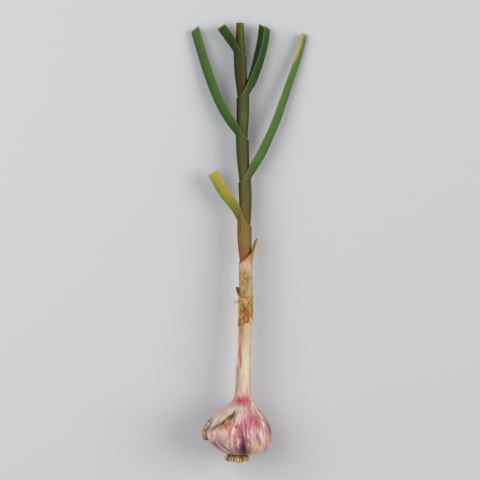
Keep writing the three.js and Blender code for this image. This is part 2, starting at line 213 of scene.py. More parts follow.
class SmoothCurve:
    """A curve through points, read at shares of its length."""

    STEPS = 24  # samples between two points

    def __init__(self, points: Sequence[Vector], pace: float) -> None:
        """Lays the curve and measures it.

        Args:
            points: The points it passes through.
            pace: The power of a gap's length that sets its share of time: 0 for even time, 0.5
                for a curve that doesn't overshoot at uneven gaps.
        """
        self.points = list(points)
        self.pace = pace
        self.samples = [
            self._at(i / self.STEPS) for i in range((len(self.points) - 1) * self.STEPS + 1)
        ]
        self.lengths = [0.0]
        for a, b in zip(self.samples, self.samples[1:]):
            self.lengths.append(self.lengths[-1] + (b - a).length)
        self.length = self.lengths[-1]

    def _at(self, time: float) -> Vector:
        """The point at a time, counted in points from the first.

        Args:
            time: 1.5 is halfway between the second point and the third.

        Returns:
            The point.
        """
        points, last = self.points, len(self.points) - 1
        i = min(int(time), last - 1)
        first, second = points[i], points[i + 1]
        held = self.pace == 0
        before = points[i - 1] if i else (first if held else first * 2 - second)
        after = points[i + 2] if i + 2 <= last else (second if held else second * 2 - first)
        steps = ((before, first), (first, second), (second, after))
        gaps = [(b - a).length ** self.pace for a, b in steps]
        d0, d1, d2 = (gap if gap > 1e-6 else 1.0 for gap in gaps)
        leave = (first - before) / d0 - (second - before) / (d0 + d1) + (second - first) / d1
        reach = (second - first) / d1 - (after - first) / (d1 + d2) + (after - second) / d2
        s = time - i
        return (
            first * ((1 + 2 * s) * (1 - s) ** 2)
            + second * (s * s * (3 - 2 * s))
            + leave * (d1 * s * (1 - s) ** 2)
            + reach * (d1 * s * s * (s - 1))
        )

    def at(self, distance: float) -> tuple[Vector, Vector]:
        """The point and the direction at a distance along the curve.

        Args:
            distance: Millimetres from the first point.

        Returns:
            The point and the unit tangent there.
        """
        distance = min(max(distance, 0.0), self.length)
        i = min(max(bisect_right(self.lengths, distance) - 1, 0), len(self.samples) - 2)
        share = (distance - self.lengths[i]) / (self.lengths[i + 1] - self.lengths[i])
        time = (i + share) / self.STEPS
        last = len(self.points) - 1
        step = 0.01
        ahead, behind = self._at(min(time + step, last)), self._at(max(time - step, 0.0))
        return self._at(time), (ahead - behind).normalized()


class Stem:
    """The line of the plant's stem, from the bulb to the cut top."""

    BULB_HEIGHT = 28.5
    TOP_HEIGHT = 8.8
    TOP_Y = 371.5
    WANDER = Table(
        [
            [-26, 0],
            [0, 0],
            [12, 0.4],
            [17, 0.9],
            [22.5, 1.9],
            [28, 3.9],
            [34, 4.5],
            [60, 5.2],
            [85, 6.4],
            [140, 7.1],
            [180, 5.8],
            [212, 6.6],
            [262, 3.9],
            [300, 4.4],
            [330, 2.2],
            [372, 1.7],
        ]
    )

    @classmethod
    def at(cls, y: float) -> Vector:
        """The middle of the stem at a distance along it."""
        height = mix(cls.BULB_HEIGHT, cls.TOP_HEIGHT, y / cls.TOP_Y)
        return Vector((cls.WANDER(y)[0], y, height))


# Finishes


@dataclass(frozen=True)
class Finish:
    """The look of a grown surface: the tints on its mesh, fine fibres along it, specks and a soft gloss.

    The tints come from the mesh's "tint" attribute, and the fibres follow its "fibre" attribute.
    """

    name: str
    fibre_scale: float  # fibres per metre across
    fibre_dark: float  # how far a fibre darkens its tint
    fibre_pale: float  # how far the skin between two fibres lightens it
    speck_tone: int
    speck_amount: float
    speck_scale: float = 900.0
    roughness: tuple[float, float] = (0.38, 0.6)
    bump: float = 0.25
    glow: float = 0.0  # how much light passes through the flesh
    glow_radius: float = 0.0015
    sheen: float = 0.0
    specular: float = 0.4

    def build(self) -> bpy.types.Material:
        """Makes the material.

        Returns:
            The finished material.
        """
        material = bpy.data.materials.new(self.name)
        material.use_nodes = True
        nodes, links = material.node_tree.nodes, material.node_tree.links
        shader = nodes["Principled BSDF"]

        def node(kind: str, **settings: object) -> bpy.types.Node:
            """A new node with its settings made.

            Args:
                kind: The type of node.
                **settings: Its settings by name.

            Returns:
                The node.
            """
            made = nodes.new(kind)
            for key, value in settings.items():
                setattr(made, key, value)
            return made

        def pattern(vector: bpy.types.NodeSocket, scale: float, detail: float) -> bpy.types.Node:
            """A cloud pattern read along a vector.

            Args:
                vector: Where it is read.
                scale: Its scale.
                detail: Its detail.

            Returns:
                The noise node.
            """
            made = node("ShaderNodeTexNoise")
            made.inputs["Scale"].default_value = scale
            made.inputs["Detail"].default_value = detail
            made.inputs["Roughness"].default_value = 0.62
            links.new(vector, made.inputs["Vector"])
            return made

        def curve(source: bpy.types.NodeSocket, low: float, high: float) -> bpy.types.NodeSocket:
            """A number brought from a range to 0..1.

            Args:
                source: The number.
                low: Where the range starts.
                high: Where it ends.

            Returns:
                The socket it comes out of.
            """
            made = node("ShaderNodeMapRange", interpolation_type="SMOOTHSTEP")
            made.inputs["From Min"].default_value = low
            made.inputs["From Max"].default_value = high
            links.new(source, made.inputs["Value"])
            return made.outputs["Result"]

        def blend(
            kind: str, share: bpy.types.NodeSocket, base: bpy.types.NodeSocket, colour: Tone
        ) -> bpy.types.NodeSocket:
            """A colour laid over another one.

            Args:
                kind: How the two are mixed.
                share: How much of the new colour.
                base: The colour below.
                colour: The colour laid over it.

            Returns:
                The socket it comes out of.
            """
            made = node("ShaderNodeMix", data_type="RGBA", blend_type=kind)
            links.new(share, made.inputs["Factor"])
            links.new(base, made.inputs["A"])
            made.inputs["B"].default_value = (*colour, 1)
            return made.outputs["Result"]

        tint = node("ShaderNodeAttribute", attribute_name="tint")
        fibre = node("ShaderNodeAttribute", attribute_name="fibre")
        place = node("ShaderNodeTexCoord").outputs["Object"]

        fibres = pattern(fibre.outputs["Vector"], self.fibre_scale, 5)
        hairs = pattern(fibre.outputs["Vector"], self.fibre_scale * 3.1, 3)
        cloud = pattern(place, 160, 4)
        specks = pattern(place, self.speck_scale, 3)

        dark, pale = 1 - self.fibre_dark, 1 + self.fibre_pale
        shaded = blend(
            "MULTIPLY",
            curve(fibres.outputs["Fac"], 0.5, 0.28),
            tint.outputs["Color"],
            (dark, dark * 0.96, dark * 0.92),
        )
        lit = blend(
            "MULTIPLY", curve(fibres.outputs["Fac"], 0.52, 0.72), shaded, (pale, pale, pale * 0.98)
        )
        fine = blend(
            "MULTIPLY",
            curve(hairs.outputs["Fac"], 0.48, 0.3),
            lit,
            (mix(1, dark, 0.6),) * 3,
        )
        worn = blend("MULTIPLY", curve(cloud.outputs["Fac"], 0.55, 0.3), fine, (0.9, 0.88, 0.84))
        threshold = 0.78 - 0.2 * self.speck_amount
        speckled = blend(
            "MIX",
            curve(specks.outputs["Fac"], threshold, threshold + 0.07),
            worn,
            tone(self.speck_tone),
        )
        links.new(speckled, shader.inputs["Base Color"])

        gloss = node("ShaderNodeMapRange")
        gloss.inputs["From Min"].default_value = 0.3
        gloss.inputs["From Max"].default_value = 0.7
        gloss.inputs["To Min"].default_value = self.roughness[0]
        gloss.inputs["To Max"].default_value = self.roughness[1]
        links.new(fibres.outputs["Fac"], gloss.inputs["Value"])
        links.new(gloss.outputs["Result"], shader.inputs["Roughness"])

        relief = node("ShaderNodeMath", operation="MULTIPLY_ADD")
        links.new(hairs.outputs["Fac"], relief.inputs[0])
        relief.inputs[1].default_value = 0.35
        links.new(fibres.outputs["Fac"], relief.inputs[2])
        bump = node("ShaderNodeBump")
        bump.inputs["Strength"].default_value = self.bump
        bump.inputs["Distance"].default_value = 0.0004
        links.new(relief.outputs["Value"], bump.inputs["Height"])
        links.new(bump.outputs["Normal"], shader.inputs["Normal"])

        shader.inputs["Subsurface Weight"].default_value = self.glow
        shader.inputs["Subsurface Radius"].default_value = (1.0, 0.6, 0.4)
        shader.inputs["Subsurface Scale"].default_value = self.glow_radius
        shader.inputs["Sheen Weight"].default_value = self.sheen
        shader.inputs["Specular IOR Level"].default_value = self.specular
        return material


@dataclass(frozen=True)
class PaperFinish:
    """Plain pale paper under the plant."""

    name: str = "pale_paper"
    code: int = 0xCACBCD

    def build(self) -> bpy.types.Material:
        """Makes the material.

        Returns:
            The finished material.
        """
        material = bpy.data.materials.new(self.name)
        material.use_nodes = True
        nodes, links = material.node_tree.nodes, material.node_tree.links
        shader = nodes["Principled BSDF"]
        shader.inputs["Base Color"].default_value = (*tone(self.code), 1)
        shader.inputs["Roughness"].default_value = 0.95
        shader.inputs["Specular IOR Level"].default_value = 0.1
        place = nodes.new("ShaderNodeTexCoord")
        grain = nodes.new("ShaderNodeTexNoise")
        grain.inputs["Scale"].default_value = 700
        bump = nodes.new("ShaderNodeBump")
        bump.inputs["Strength"].default_value = 0.05
        bump.inputs["Distance"].default_value = 0.0002
        links.new(place.outputs["Object"], grain.inputs["Vector"])
        links.new(grain.outputs["Fac"], bump.inputs["Height"])
        links.new(bump.outputs["Normal"], shader.inputs["Normal"])
        return material


# The bench: what every piece is made with


class Spot(NamedTuple):
    """A point of a skin: where it lies, its tint, its place among the fibres and its wall."""

    place: Vector  # mm
    tint: Tone
    fibre: Vector  # mm across, mm round, and a share of the mm along
    wall: float = 1.0  # share of the full thickness


class Bench:
    """Makes and finishes meshes as by hand."""

    @staticmethod
    def clear() -> None:
        """Leaves nothing selected."""
        for thing in bpy.context.selected_objects:
            thing.select_set(False)

    @staticmethod
    def take(thing: bpy.types.Object) -> None:
        """Selects one object alone and makes it the active one.

        Args:
            thing: The object.
        """
        Bench.clear()
        thing.select_set(True)
        bpy.context.view_layer.objects.active = thing

    @staticmethod
    def edit(thing: bpy.types.Object, *steps: Callable[[], object]) -> None:
        """Runs edit-mode steps on the whole of an object's mesh.

        Args:
            thing: The object.
            *steps: What to run, in order.
        """
        Bench.take(thing)
        bpy.ops.object.mode_set(mode="EDIT")
        bpy.ops.mesh.select_all(action="SELECT")
        for step in steps:
            step()
        bpy.ops.object.mode_set(mode="OBJECT")

    @staticmethod
    def sheet(
        name: str, columns: int, rows: int, rule: Callable[[float, float], Spot]
    ) -> bpy.types.Object:
        """Lays a grid of faces over a surface and closes its seams and poles.

        Args:
            name: The object's name.
            columns: Faces across the sheet.
            rows: Faces along it.
            rule: Gives the spot at shares across and along the sheet.

        Returns:
            The sheet, with its "tint" and "fibre" attributes and its "wall" vertex group.
        """
        Bench.clear()
        bpy.ops.mesh.primitive_grid_add(x_subdivisions=columns, y_subdivisions=rows, size=1)
        sheet = bpy.context.object
        sheet.name = sheet.data.name = name
        mesh = sheet.data
        tint = mesh.color_attributes.new("tint", "FLOAT_COLOR", "POINT")
        fibre = mesh.attributes.new("fibre", "FLOAT_VECTOR", "POINT")
        walls: dict[float, list[int]] = {}
        for vertex in mesh.vertices:
            across, along = vertex.co.x + 0.5, vertex.co.y + 0.5
            spot = rule(min(max(across, 0.0), 1.0), min(max(along, 0.0), 1.0))
            vertex.co = spot.place * MM
            vertex.co.z = max(vertex.co.z, TABLE_GAP * MM)
            tint.data[vertex.index].color = (*spot.tint, 1)
            fibre.data[vertex.index].vector = spot.fibre * MM
            walls.setdefault(round(spot.wall, 2), []).append(vertex.index)
        group = sheet.vertex_groups.new(name="wall")
        for weight, indices in walls.items():
            group.add(indices, weight, "REPLACE")
        Bench.edit(
            sheet,
            lambda: bpy.ops.mesh.remove_doubles(threshold=2e-6),
            lambda: bpy.ops.mesh.dissolve_degenerate(threshold=1e-7),
        )
        return sheet

    @staticmethod
    def thicken(sheet: bpy.types.Object, thickness: float) -> None:
        """Gives a sheet a wall on its inner side, as thick as its "wall" group says.

        Args:
            sheet: The sheet.
            thickness: The wall where the group is full, in millimetres.
        """
        Bench.take(sheet)
        wall = sheet.modifiers.new("wall", "SOLIDIFY")
        wall.thickness = thickness * MM
        wall.offset = -1
        wall.vertex_group = "wall"
        wall.use_even_offset = False
        bpy.ops.object.modifier_apply(modifier=wall.name)

    @staticmethod
    def smooth(thing: bpy.types.Object, sharp: float = 40.0) -> None:
        """Shades a piece smoothly, but for edges sharper than an angle in degrees."""
        Bench.take(thing)
        bpy.ops.object.shade_smooth_by_angle(angle=math.radians(sharp))

    @staticmethod
    def paint(
        thing: bpy.types.Object, rule: Callable[[Vector], tuple[Tone, Vector]]
    ) -> None:
        """Gives a modelled piece its "tint" and "fibre" attributes.

        Args:
            thing: The piece, in place.
            rule: Gives the tint and the fibre vector in millimetres for a point in millimetres.
        """
        mesh = thing.data
        tint = mesh.color_attributes.new("tint", "FLOAT_COLOR", "POINT")
        fibre = mesh.attributes.new("fibre", "FLOAT_VECTOR", "POINT")
        for vertex in mesh.vertices:
            colour, grain = rule(vertex.co / MM)
            tint.data[vertex.index].color = (*colour, 1)
            fibre.data[vertex.index].vector = grain * MM

    @staticmethod
    def sort_faces(thing: bpy.types.Object) -> None:
        """Puts a small mesh's faces in a set order, which extrusion leaves to chance.

        Args:
            thing: The object, whose mesh lies round the origin.
        """
        cursor = bpy.context.scene.cursor
        cursor.location = Vector((3, 5, 7)) * MM  # off every plane of symmetry, so nothing ties
        Bench.edit(
            thing,
            lambda: bpy.ops.mesh.sort_elements(type="CURSOR_DISTANCE", elements={"FACE"}),
        )
        cursor.location = (0, 0, 0)

    @staticmethod
    def join(things: Sequence[bpy.types.Object], name: str) -> bpy.types.Object:
        """Makes several objects into one.

        Args:
            things: The objects, of which the first is kept.
            name: The name of the whole.

        Returns:
            The joined object.
        """
        Bench.take(things[0])
        for thing in things[1:]:
            thing.select_set(True)
        bpy.ops.object.join()
        things[0].name = things[0].data.name = name
        return things[0]

    @staticmethod
    def hand_over(
        piece: bpy.types.Object, finish: bpy.types.Material, slot: Slot, *nodes: str
    ) -> bpy.types.Object:
        """Dresses a piece and puts it in the frame.

        Args:
            piece: The piece, in place.
            finish: Its material.
            slot: The record's slot for the piece; not used.
            nodes: The nodes it stands for.

        Returns:
            The piece.
        """
        piece.data.materials.clear()
        piece.data.materials.append(finish)
        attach(piece, "root")
        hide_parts(*nodes)
        return piece


class SubAssembly(ABC):
    """Something that makes one or more pieces."""

    @abstractmethod
    def build(self) -> list[bpy.types.Object]:
        """Makes and dresses the pieces."""


# The bulb


class Wash(NamedTuple):
    """A soft patch of colour on the bulb: mostly the skin's own streaks and blotches, with a few painted
    highlights and some painted crease shade.
    """

    azimuth: float  # degrees from straight up towards the right
    y: float
    half_width: float
    half_length: float
    lean: float  # degrees, its upper end towards the left
    code: int
    strength: float


@dataclass
class BulbForm:
    """The shape of the bulb, which its skins share."""

    depth_share: float = 0.95
    outline: Rows = (
        (0.01, -13.4),
        (4, -13.8),
        (8, -14.6),
        (14, -16.2),
        (19.2, -15),
        (25.8, -10.2),
        (29.6, -4.6),
        (31, 1),
        (30.1, 6.4),
        (27.3, 11.8),
        (23.3, 17.2),
        (17.1, 22.6),
        (11.4, 28),
        (8.2, 33.4),
        (7.2, 40),
        (6.8, 50),
        (6.6, 66),
        (6.6, 90),
        (6.2, 98),
        (6.15, 106),
    )
    skew: Table = Table(
        [[-16.5, 5], [-10, 2.7], [-4.5, 0.9], [1, -0.4], [6.5, -0.5], [17, 0], [34, 0]]
    )
    creases: Rows = (
        (7, 1),
        (55, 0.4),
        (104, 0.8),
        (155, 0.9),
        (204, 0.8),
        (246, 0.9),
        (284, 0.6),
        (320, 0.5),
    )
    crease_width: float = 9
    crease_depth: float = 0.17
    groove_width: float = 3.2
    groove_depth: float = 0.035

    @cached_property
    def curve(self) -> SmoothCurve:
        """The outline as a curve of (radius, distance along the stem)."""
        return SmoothCurve([Vector((radius, y, 0)) for radius, y in self.outline], 0)

    def distance_at(self, y: float) -> float:
        """The distance along the outline at which it passes y beyond the belly.

        Args:
            y: Distance along the stem.

        Returns:
            The distance along the outline.
        """
        curve = self.curve
        i = next(i for i, point in enumerate(curve.samples) if point.y >= y and i > 60)
        return curve.lengths[i]

    def relief(self, azimuth: float, y: float) -> float:
        """How far the cloves swell between their creases.

        Args:
            azimuth: Degrees from straight up towards the right.
            y: Distance along the stem.

        Returns:
            A share of the bulb's radius.
        """
        fade = 1 - ramp(y, -9, 25)
        dips = []
        for crease, depth in self.creases:
            away = turned(azimuth - crease - 1.5 * ripple(y * 0.09, crease))
            broad = self.crease_depth * math.exp(-((away / self.crease_width) ** 2))
            groove = self.groove_depth * math.exp(-((away / self.groove_width) ** 2))
            dips.append(depth * (broad + groove))
        return 1 - fade * max(dips)

    def nearness(self, azimuth: float) -> float:
        """How close an azimuth is to a crease, up to 1 in the crease.

        Args:
            azimuth: Degrees from straight up towards the right.

        Returns:
            0 to 1.
        """
        return max(
            depth**2 * math.exp(-((turned(azimuth - crease) / 7) ** 2))
            for crease, depth in self.creases
        )

    def point(self, distance: float, angle: float, lift: float = 0.0) -> tuple[Vector, float, float]:
        """A point on the bulb.

        Args:
            distance: Along the outline from the base.
            angle: Radians from +X towards +Z.
            lift: How far off the surface, in millimetres.

        Returns:
            The point, its radius before the creases and its distance along the stem.
        """
        profile, rise = self.curve.at(distance)
        azimuth = math.degrees(math.atan2(math.cos(angle), math.sin(angle)))
        reach = profile.x * self.relief(azimuth, profile.y) + lift * rise.y
        depth = mix(1, self.depth_share, ramp(profile.x, 7, 20))
        y = profile.y - lift * rise.x
        point = Stem.at(y)
        point.x += self.skew(y)[0] + reach * math.cos(angle)
        point.z += depth * reach * math.sin(angle)
        return point, profile.x, y


@dataclass
class Bulb(SubAssembly):
    """The bulb with its cloves under their striped skins, drawn out into the neck."""

    form: BulbForm
    columns: int = 380
    rows: int = 230
    fibre_lift: float = 0.1
    finish: Finish = Finish(
        "striped_bulb_skin",
        fibre_scale=900,
        fibre_dark=0.26,
        fibre_pale=0.14,
        speck_tone=0x9A6A55,
        speck_amount=0.25,
        roughness=(0.4, 0.62),
        bump=0.4,
        glow=0.06,
        sheen=0.05,
        specular=0.3,
    )
    cream: Tone = tone(0xEADACA)
    pink: Tone = tone(0xD0808C)
    rose: Tone = tone(0xB94F68)
    purple: Tone = tone(0x7E3F62)
    tan: Tone = tone(0xC59B74)
    neck_cream: Tone = tone(0xDCC8AE)
    neck_tan: Tone = tone(0xC49C74)
    # The skin's own blotches and streaks, with a few painted highlights and some painted crease shade
    # among them, each marked below.
    washes: Sequence[Wash] = (
        Wash(-14, 31.4, 3.6, 3.0, 0, 0xB83444, 1.0),
        Wash(20, 32.2, 3.4, 2.6, 0, 0xBC3C4C, 0.95),
        Wash(2, 27.8, 4.6, 3.0, 0, 0xC0505E, 0.85),
        Wash(30, 26.5, 2.2, 6, -20, 0xC25E6E, 0.75),
        Wash(-2, 36.5, 0.8, 4, 0, 0xC45A64, 0.7),
        Wash(34, 38, 0.8, 5, 0, 0xC25A68, 0.7),
        Wash(-48, 31.8, 1.6, 2.8, 0, 0xC4646A, 0.55),
        Wash(-50, 42, 1.0, 5.5, 0, 0xA06A48, 0.8),
        Wash(-58, 54, 1.3, 7, 0, 0xA8987C, 0.7),
        Wash(62, 44, 0.9, 8, 0, 0xBC586E, 0.8),
        Wash(5, 44, 3.2, 8, 0, 0xE4D2C0, 0.6),
        Wash(-14, 42, 0.5, 5, 0, 0xCC8C8E, 0.7),
        Wash(16, 41, 0.4, 5, 0, 0xD09A98, 0.6),
        Wash(14, 66, 3.6, 12, 0, 0xD6D6AE, 0.85),
        Wash(-28, 66, 1.0, 6, 0, 0xB0465E, 0.85),
        Wash(-45, 90, 3.4, 9, 0, 0xBE9666, 0.75),
        Wash(24, 92, 4.2, 8, 0, 0xCDB088, 0.7),
        Wash(-20, 92, 0.8, 4.5, 0, 0x8A6030, 0.75),
        Wash(2, 95, 0.5, 2.4, 0, 0x8A6030, 0.6),
        Wash(-42, 74, 2.0, 5.5, 0, 0xA46E5A, 0.75),
        Wash(56, 74, 1.1, 5.5, 0, 0xC0887A, 0.75),
        Wash(-38, 93, 1.4, 3.6, 0, 0x9A7848, 0.75),
        Wash(10, 88, 4.0, 8, 0, 0xCFB48E, 0.5),
        Wash(39, 19.1, 4, 7, -25, 0xBE6470, 0.6),
        Wash(45, 13.2, 3, 6, -25, 0xBC5466, 0.55),
        Wash(80, 20.3, 1.0, 7, -38, 0x83363E, 0.75),
        Wash(72, 7.0, 4.6, 10, -8, 0x6E3A54, 0.88),
        Wash(66, -3.6, 3.4, 6, 5, 0xCC9484, 0.75),
        Wash(-4, 22.6, 5.5, 4.0, 0, 0xDCC6B8, 0.9),
        Wash(12, 20.6, 3.2, 3.2, 0, 0xDCC2B6, 0.75),
        Wash(-12, 17.6, 2.4, 3.0, 0, 0xD8B4A8, 0.7),
        Wash(-60, 8.6, 2.2, 5, 15, 0x744466, 0.9),
        Wash(-47, 7.2, 2.4, 2.2, 15, 0x8C5E74, 0.7),
        # Painted highlight: a near-white streak on the lower left clove.
        Wash(-56, -0.5, 1.2, 6, 12, 0xEFE2DC, 0.7),
        Wash(-48, -0.2, 1.3, 5, 12, 0xBC6E80, 0.7),
        Wash(-51, -6.4, 1.9, 3.8, 35, 0x9C2648, 0.92),
        Wash(-28, 5.4, 5.0, 2.6, 0, 0xE4D2BE, 0.7),
        Wash(-35, -0.8, 1.2, 4, 15, 0xBA6074, 0.7),
        Wash(-34, -8.4, 2.3, 4.8, 38, 0x8A1A3E, 0.97),
        Wash(-14, -1.6, 6, 6, 0, 0xE0BAAA, 0.55),
        Wash(-21, -2, 0.5, 5, 4, 0xBE7080, 0.6),
        Wash(-14, 0.3, 0.7, 5, 0, 0xA8683C, 0.7),
        Wash(-5, -1.5, 0.9, 5.5, -12, 0x995C36, 0.75),
        Wash(-9, -8.7, 1.6, 2.4, 0, 0xA4622E, 0.7),
        Wash(-1, 9.9, 2.4, 1.6, 0, 0xAE3460, 0.8),
        Wash(3, 4.6, 1.3, 4.8, -8, 0x8A3E72, 0.85),
        Wash(8, 8.1, 0.9, 5.8, 0, 0x96204A, 1.0),
        Wash(11, 7.0, 4.4, 5.6, 0, 0xB43C60, 0.6),
        Wash(11.5, 6.0, 0.35, 5, 2, 0xE6C0B8, 0.8),
        Wash(18, 6.5, 0.35, 5, 4, 0xE0B0AC, 0.7),
        Wash(15, 5.7, 0.8, 6, 3, 0xA62C52, 0.8),
        Wash(21, 7.5, 0.7, 6, 5, 0xBC4864, 0.7),
        Wash(27, 8.0, 0.6, 5, 5, 0xE0B4AC, 0.5),
        Wash(19, 13.4, 5, 4.4, 0, 0xC05A70, 0.6),
        Wash(36, 14.6, 4.5, 5, -10, 0xB44A5C, 0.7),
        Wash(31, 9.0, 2.0, 5, 0, 0xC05870, 0.6),
        Wash(40, 12.1, 0.8, 5, -5, 0xA83E54, 0.7),
        Wash(9, -3.0, 2.4, 5.6, 5, 0x8A2C58, 0.7),
        # Painted crease shade together with the skin's own purple: the darkest plum, where the front
        # crease meets the roots.
        Wash(6, -9.6, 3.6, 4.8, 0, 0x5A1A3C, 0.92),
        Wash(2, -13.0, 4.2, 3.8, 0, 0x3C0C26, 0.96),
        Wash(-10, -12.4, 2.6, 3.0, 25, 0x7C4230, 0.75),
        Wash(14, -12.6, 2.4, 2.6, -25, 0x7A3C4A, 0.7),
        Wash(11, -0.3, 1.1, 5, 5, 0x7C1C46, 0.85),
        Wash(17, -2.9, 1.6, 4.0, 15, 0x7A4A66, 0.75),
        Wash(24, 1.3, 1.2, 5, 20, 0x8E7078, 0.65),
        Wash(35, -0.3, 1.9, 5.2, 8, 0x8C5078, 0.85),
        # Painted highlight: a near-white streak on the right clove.
        Wash(45, 0.6, 1.6, 4.6, 3, 0xF4E8E2, 0.9),
        Wash(27, -7.0, 4.4, 4.0, 20, 0xD8BC98, 0.85),
        Wash(44, -9.0, 4.0, 4.0, 20, 0xDCB89E, 0.75),
        Wash(40, -5.0, 3.0, 1.5, 25, 0xB67A48, 0.75),
        Wash(22, -10.6, 1.0, 3, 20, 0xB08050, 0.6),
        Wash(53, 4.5, 0.9, 5, -4, 0xCE986E, 0.7),
        Wash(50, -9.9, 4, 2, 30, 0xCE9484, 0.6),
        Wash(76, -13.6, 3.4, 0.9, 12, 0x903C56, 0.8),
    )

    @cached_property
    def wash_tones(self) -> list[tuple[Wash, Tone, float, float]]:
        """Each wash with its linear colour and the sine and cosine of its lean.

        Returns:
            One row for each wash.
        """
        leans = [math.radians(wash.lean) for wash in self.washes]
        return [
            (wash, tone(wash.code), math.sin(lean), math.cos(lean))
            for wash, lean in zip(self.washes, leans)
        ]

    def stripe(self, azimuth: float, y: float, radius: float) -> Tone:
        """The striped ground under the washes.

        Args:
            azimuth: Degrees from straight up towards the right.
            y: Distance along the stem.
            radius: The bulb's radius there.

        Returns:
            The linear colour.
        """
        turn = math.radians(azimuth)
        x, z = math.cos(turn), math.sin(turn)
        sway = 0.05 * ripple(y * 0.12, azimuth * 0.03)
        x, z = x + sway, z + sway
        streak = ripple(x * 9, z * 9, y * 0.075)
        thin = ripple(x * 24 + 7, z * 24, y * 0.15)
        hair = ripple(x * 52, z * 52 + 3, y * 0.24)
        broad = ripple(x * 2.6, z * 2.6 + 9, y * 0.1)
        belly = 1 - ramp(y, 30, 44)
        colour = mix_tone(self.neck_cream, self.cream, belly)
        colour = mix_tone(colour, self.tan, 0.35 * ramp(broad, 0.05, 0.6))
        colour = mix_tone(colour, self.pink, belly * 0.8 * ramp(streak + 0.35 * broad, -0.12, 0.36))
        # Purple along the creases low on the bulb: partly the skin's own purple, partly painted crease
        # shade.
        crease_purple_and_shade = self.form.nearness(azimuth) * (1 - ramp(y, -6, 16))
        colour = mix_tone(colour, self.purple, 0.75 * crease_purple_and_shade * ramp(crease_purple_and_shade + 0.5 * thin, 0.3, 1.0))
        base = 1 - ramp(y, -15.5, -10)
        colour = mix_tone(colour, self.tan, 0.5 * base * ramp(radius, 6, 20))
        colour = self.streaked(colour, thin, hair, belly)
        if y > 30:
            blush = ramp(ripple(x * 3.4, z * 3.4, y * 0.03) + 0.3 * thin, 0.05, 0.5)
            colour = mix_tone(colour, self.pink, 0.6 * blush * (1 - ramp(y, 78, 100)))
            brown = ramp(ripple(x * 4 + 5, z * 4, y * 0.02) + 0.3 * hair, 0.2, 0.55)
            colour = mix_tone(colour, self.neck_tan, 0.7 * brown)
        return colour

    def streaked(self, colour: Tone, thin: float, hair: float, amount: float) -> Tone:
        """A colour crossed by fine rose, purple and cream streaks.

        Args:
            colour: The colour under the streaks.
            thin: Noise for the wider streaks.
            hair: Noise for the finest ones.
            amount: How strongly they show.

        Returns:
            The linear colour.
        """
        colour = mix_tone(colour, self.rose, amount * 0.66 * ramp(thin, 0.1, 0.4))
        colour = mix_tone(colour, self.purple, amount * 0.6 * ramp(hair, 0.2, 0.45))
        return mix_tone(colour, self.cream, amount * 0.6 * ramp(-thin - 0.3 * hair, 0.12, 0.42))

    def frayed(self, colour: Tone, azimuth: float, y: float) -> Tone:
        """A colour under the brown fibres that hang from the torn skin on the left clove.

        Args:
            colour: The colour of the skin.
            azimuth: Degrees from straight up towards the right.
            y: Distance along the stem.

        Returns:
            The linear colour.
        """
        lower = math.exp(-(((azimuth + 23) / 13) ** 4) - ((y - 10.2 - 0.05 * (azimuth + 23)) / 2.9) ** 4)
        upper = math.exp(-(((azimuth + 25) / 15) ** 4) - ((y - 13.4 - 0.28 * (azimuth + 25)) / 4.4) ** 4)
        if max(lower, upper) < 0.02:
            return colour
        strand = ripple(azimuth * 0.45 + 0.3 * y, y * 0.17, 5)
        clump = ripple(azimuth * 0.16, y * 0.28, 8)
        orange = mix_tone(tone(0xB4683E), tone(0xC88A66), ramp(strand, -0.3, 0.3))
        colour = mix_tone(colour, orange, 0.9 * lower * ramp(clump + 0.3 * strand, -0.6, -0.2))
        colour = mix_tone(colour, tone(0xA87454), 0.8 * upper)
        hang = ramp(strand + 0.4 * clump, -0.2 + 0.1 * (13.4 - y), 0.05 + 0.1 * (13.4 - y))
        colour = mix_tone(colour, tone(0x442A14), 0.94 * upper * hang)
        return mix_tone(colour, tone(0xDCC09A), 0.7 * upper * ramp(-strand, 0.18, 0.4))

    def tint(self, azimuth: float, y: float, radius: float) -> Tone:
        """The colour of the bulb's skin, washes and all.

        Args:
            azimuth: Degrees from straight up towards the right.
            y: Distance along the stem.
            radius: The bulb's radius there.

        Returns:
            The linear colour.
        """
        colour = self.stripe(azimuth, y, radius)
        turn = math.radians(azimuth)
        wobble = 0.9 * ripple(math.cos(turn) * 30, math.sin(turn) * 30, y * 0.1)
        reach = max(radius, 6.0)
        for wash, wash_tone, sine, cosine in self.wash_tones:
            dy = y - wash.y + wobble * 1.6
            if abs(dy) > wash.half_length * 2.4 + wash.half_width:
                continue
            for back, strength in ((0, 1.0), (172, 0.75)):
                dx = math.radians(turned(azimuth - wash.azimuth - back)) * reach
                across, along = dx * cosine + dy * sine, dy * cosine - dx * sine
                across += wobble * 0.35
                far = (across / wash.half_width) ** 2 + (along / wash.half_length) ** 2
                if far < 5:
                    share = math.exp(-(far**1.6) * 0.6) * wash.strength * strength
                    colour = mix_tone(colour, wash_tone, min(share, 1))
        x, z = math.cos(turn), math.sin(turn)
        thin = ripple(x * 33 + 2, z * 33, y * 0.2)
        hair = ripple(x * 60, z * 60 + 3, y * 0.3)
        strength = 0.5 * (1 - ramp(y, 28, 40)) * ramp(colour[0], 0.12, 0.4)
        colour = self.streaked(colour, thin, hair, strength)
        return self.frayed(colour, azimuth, y)

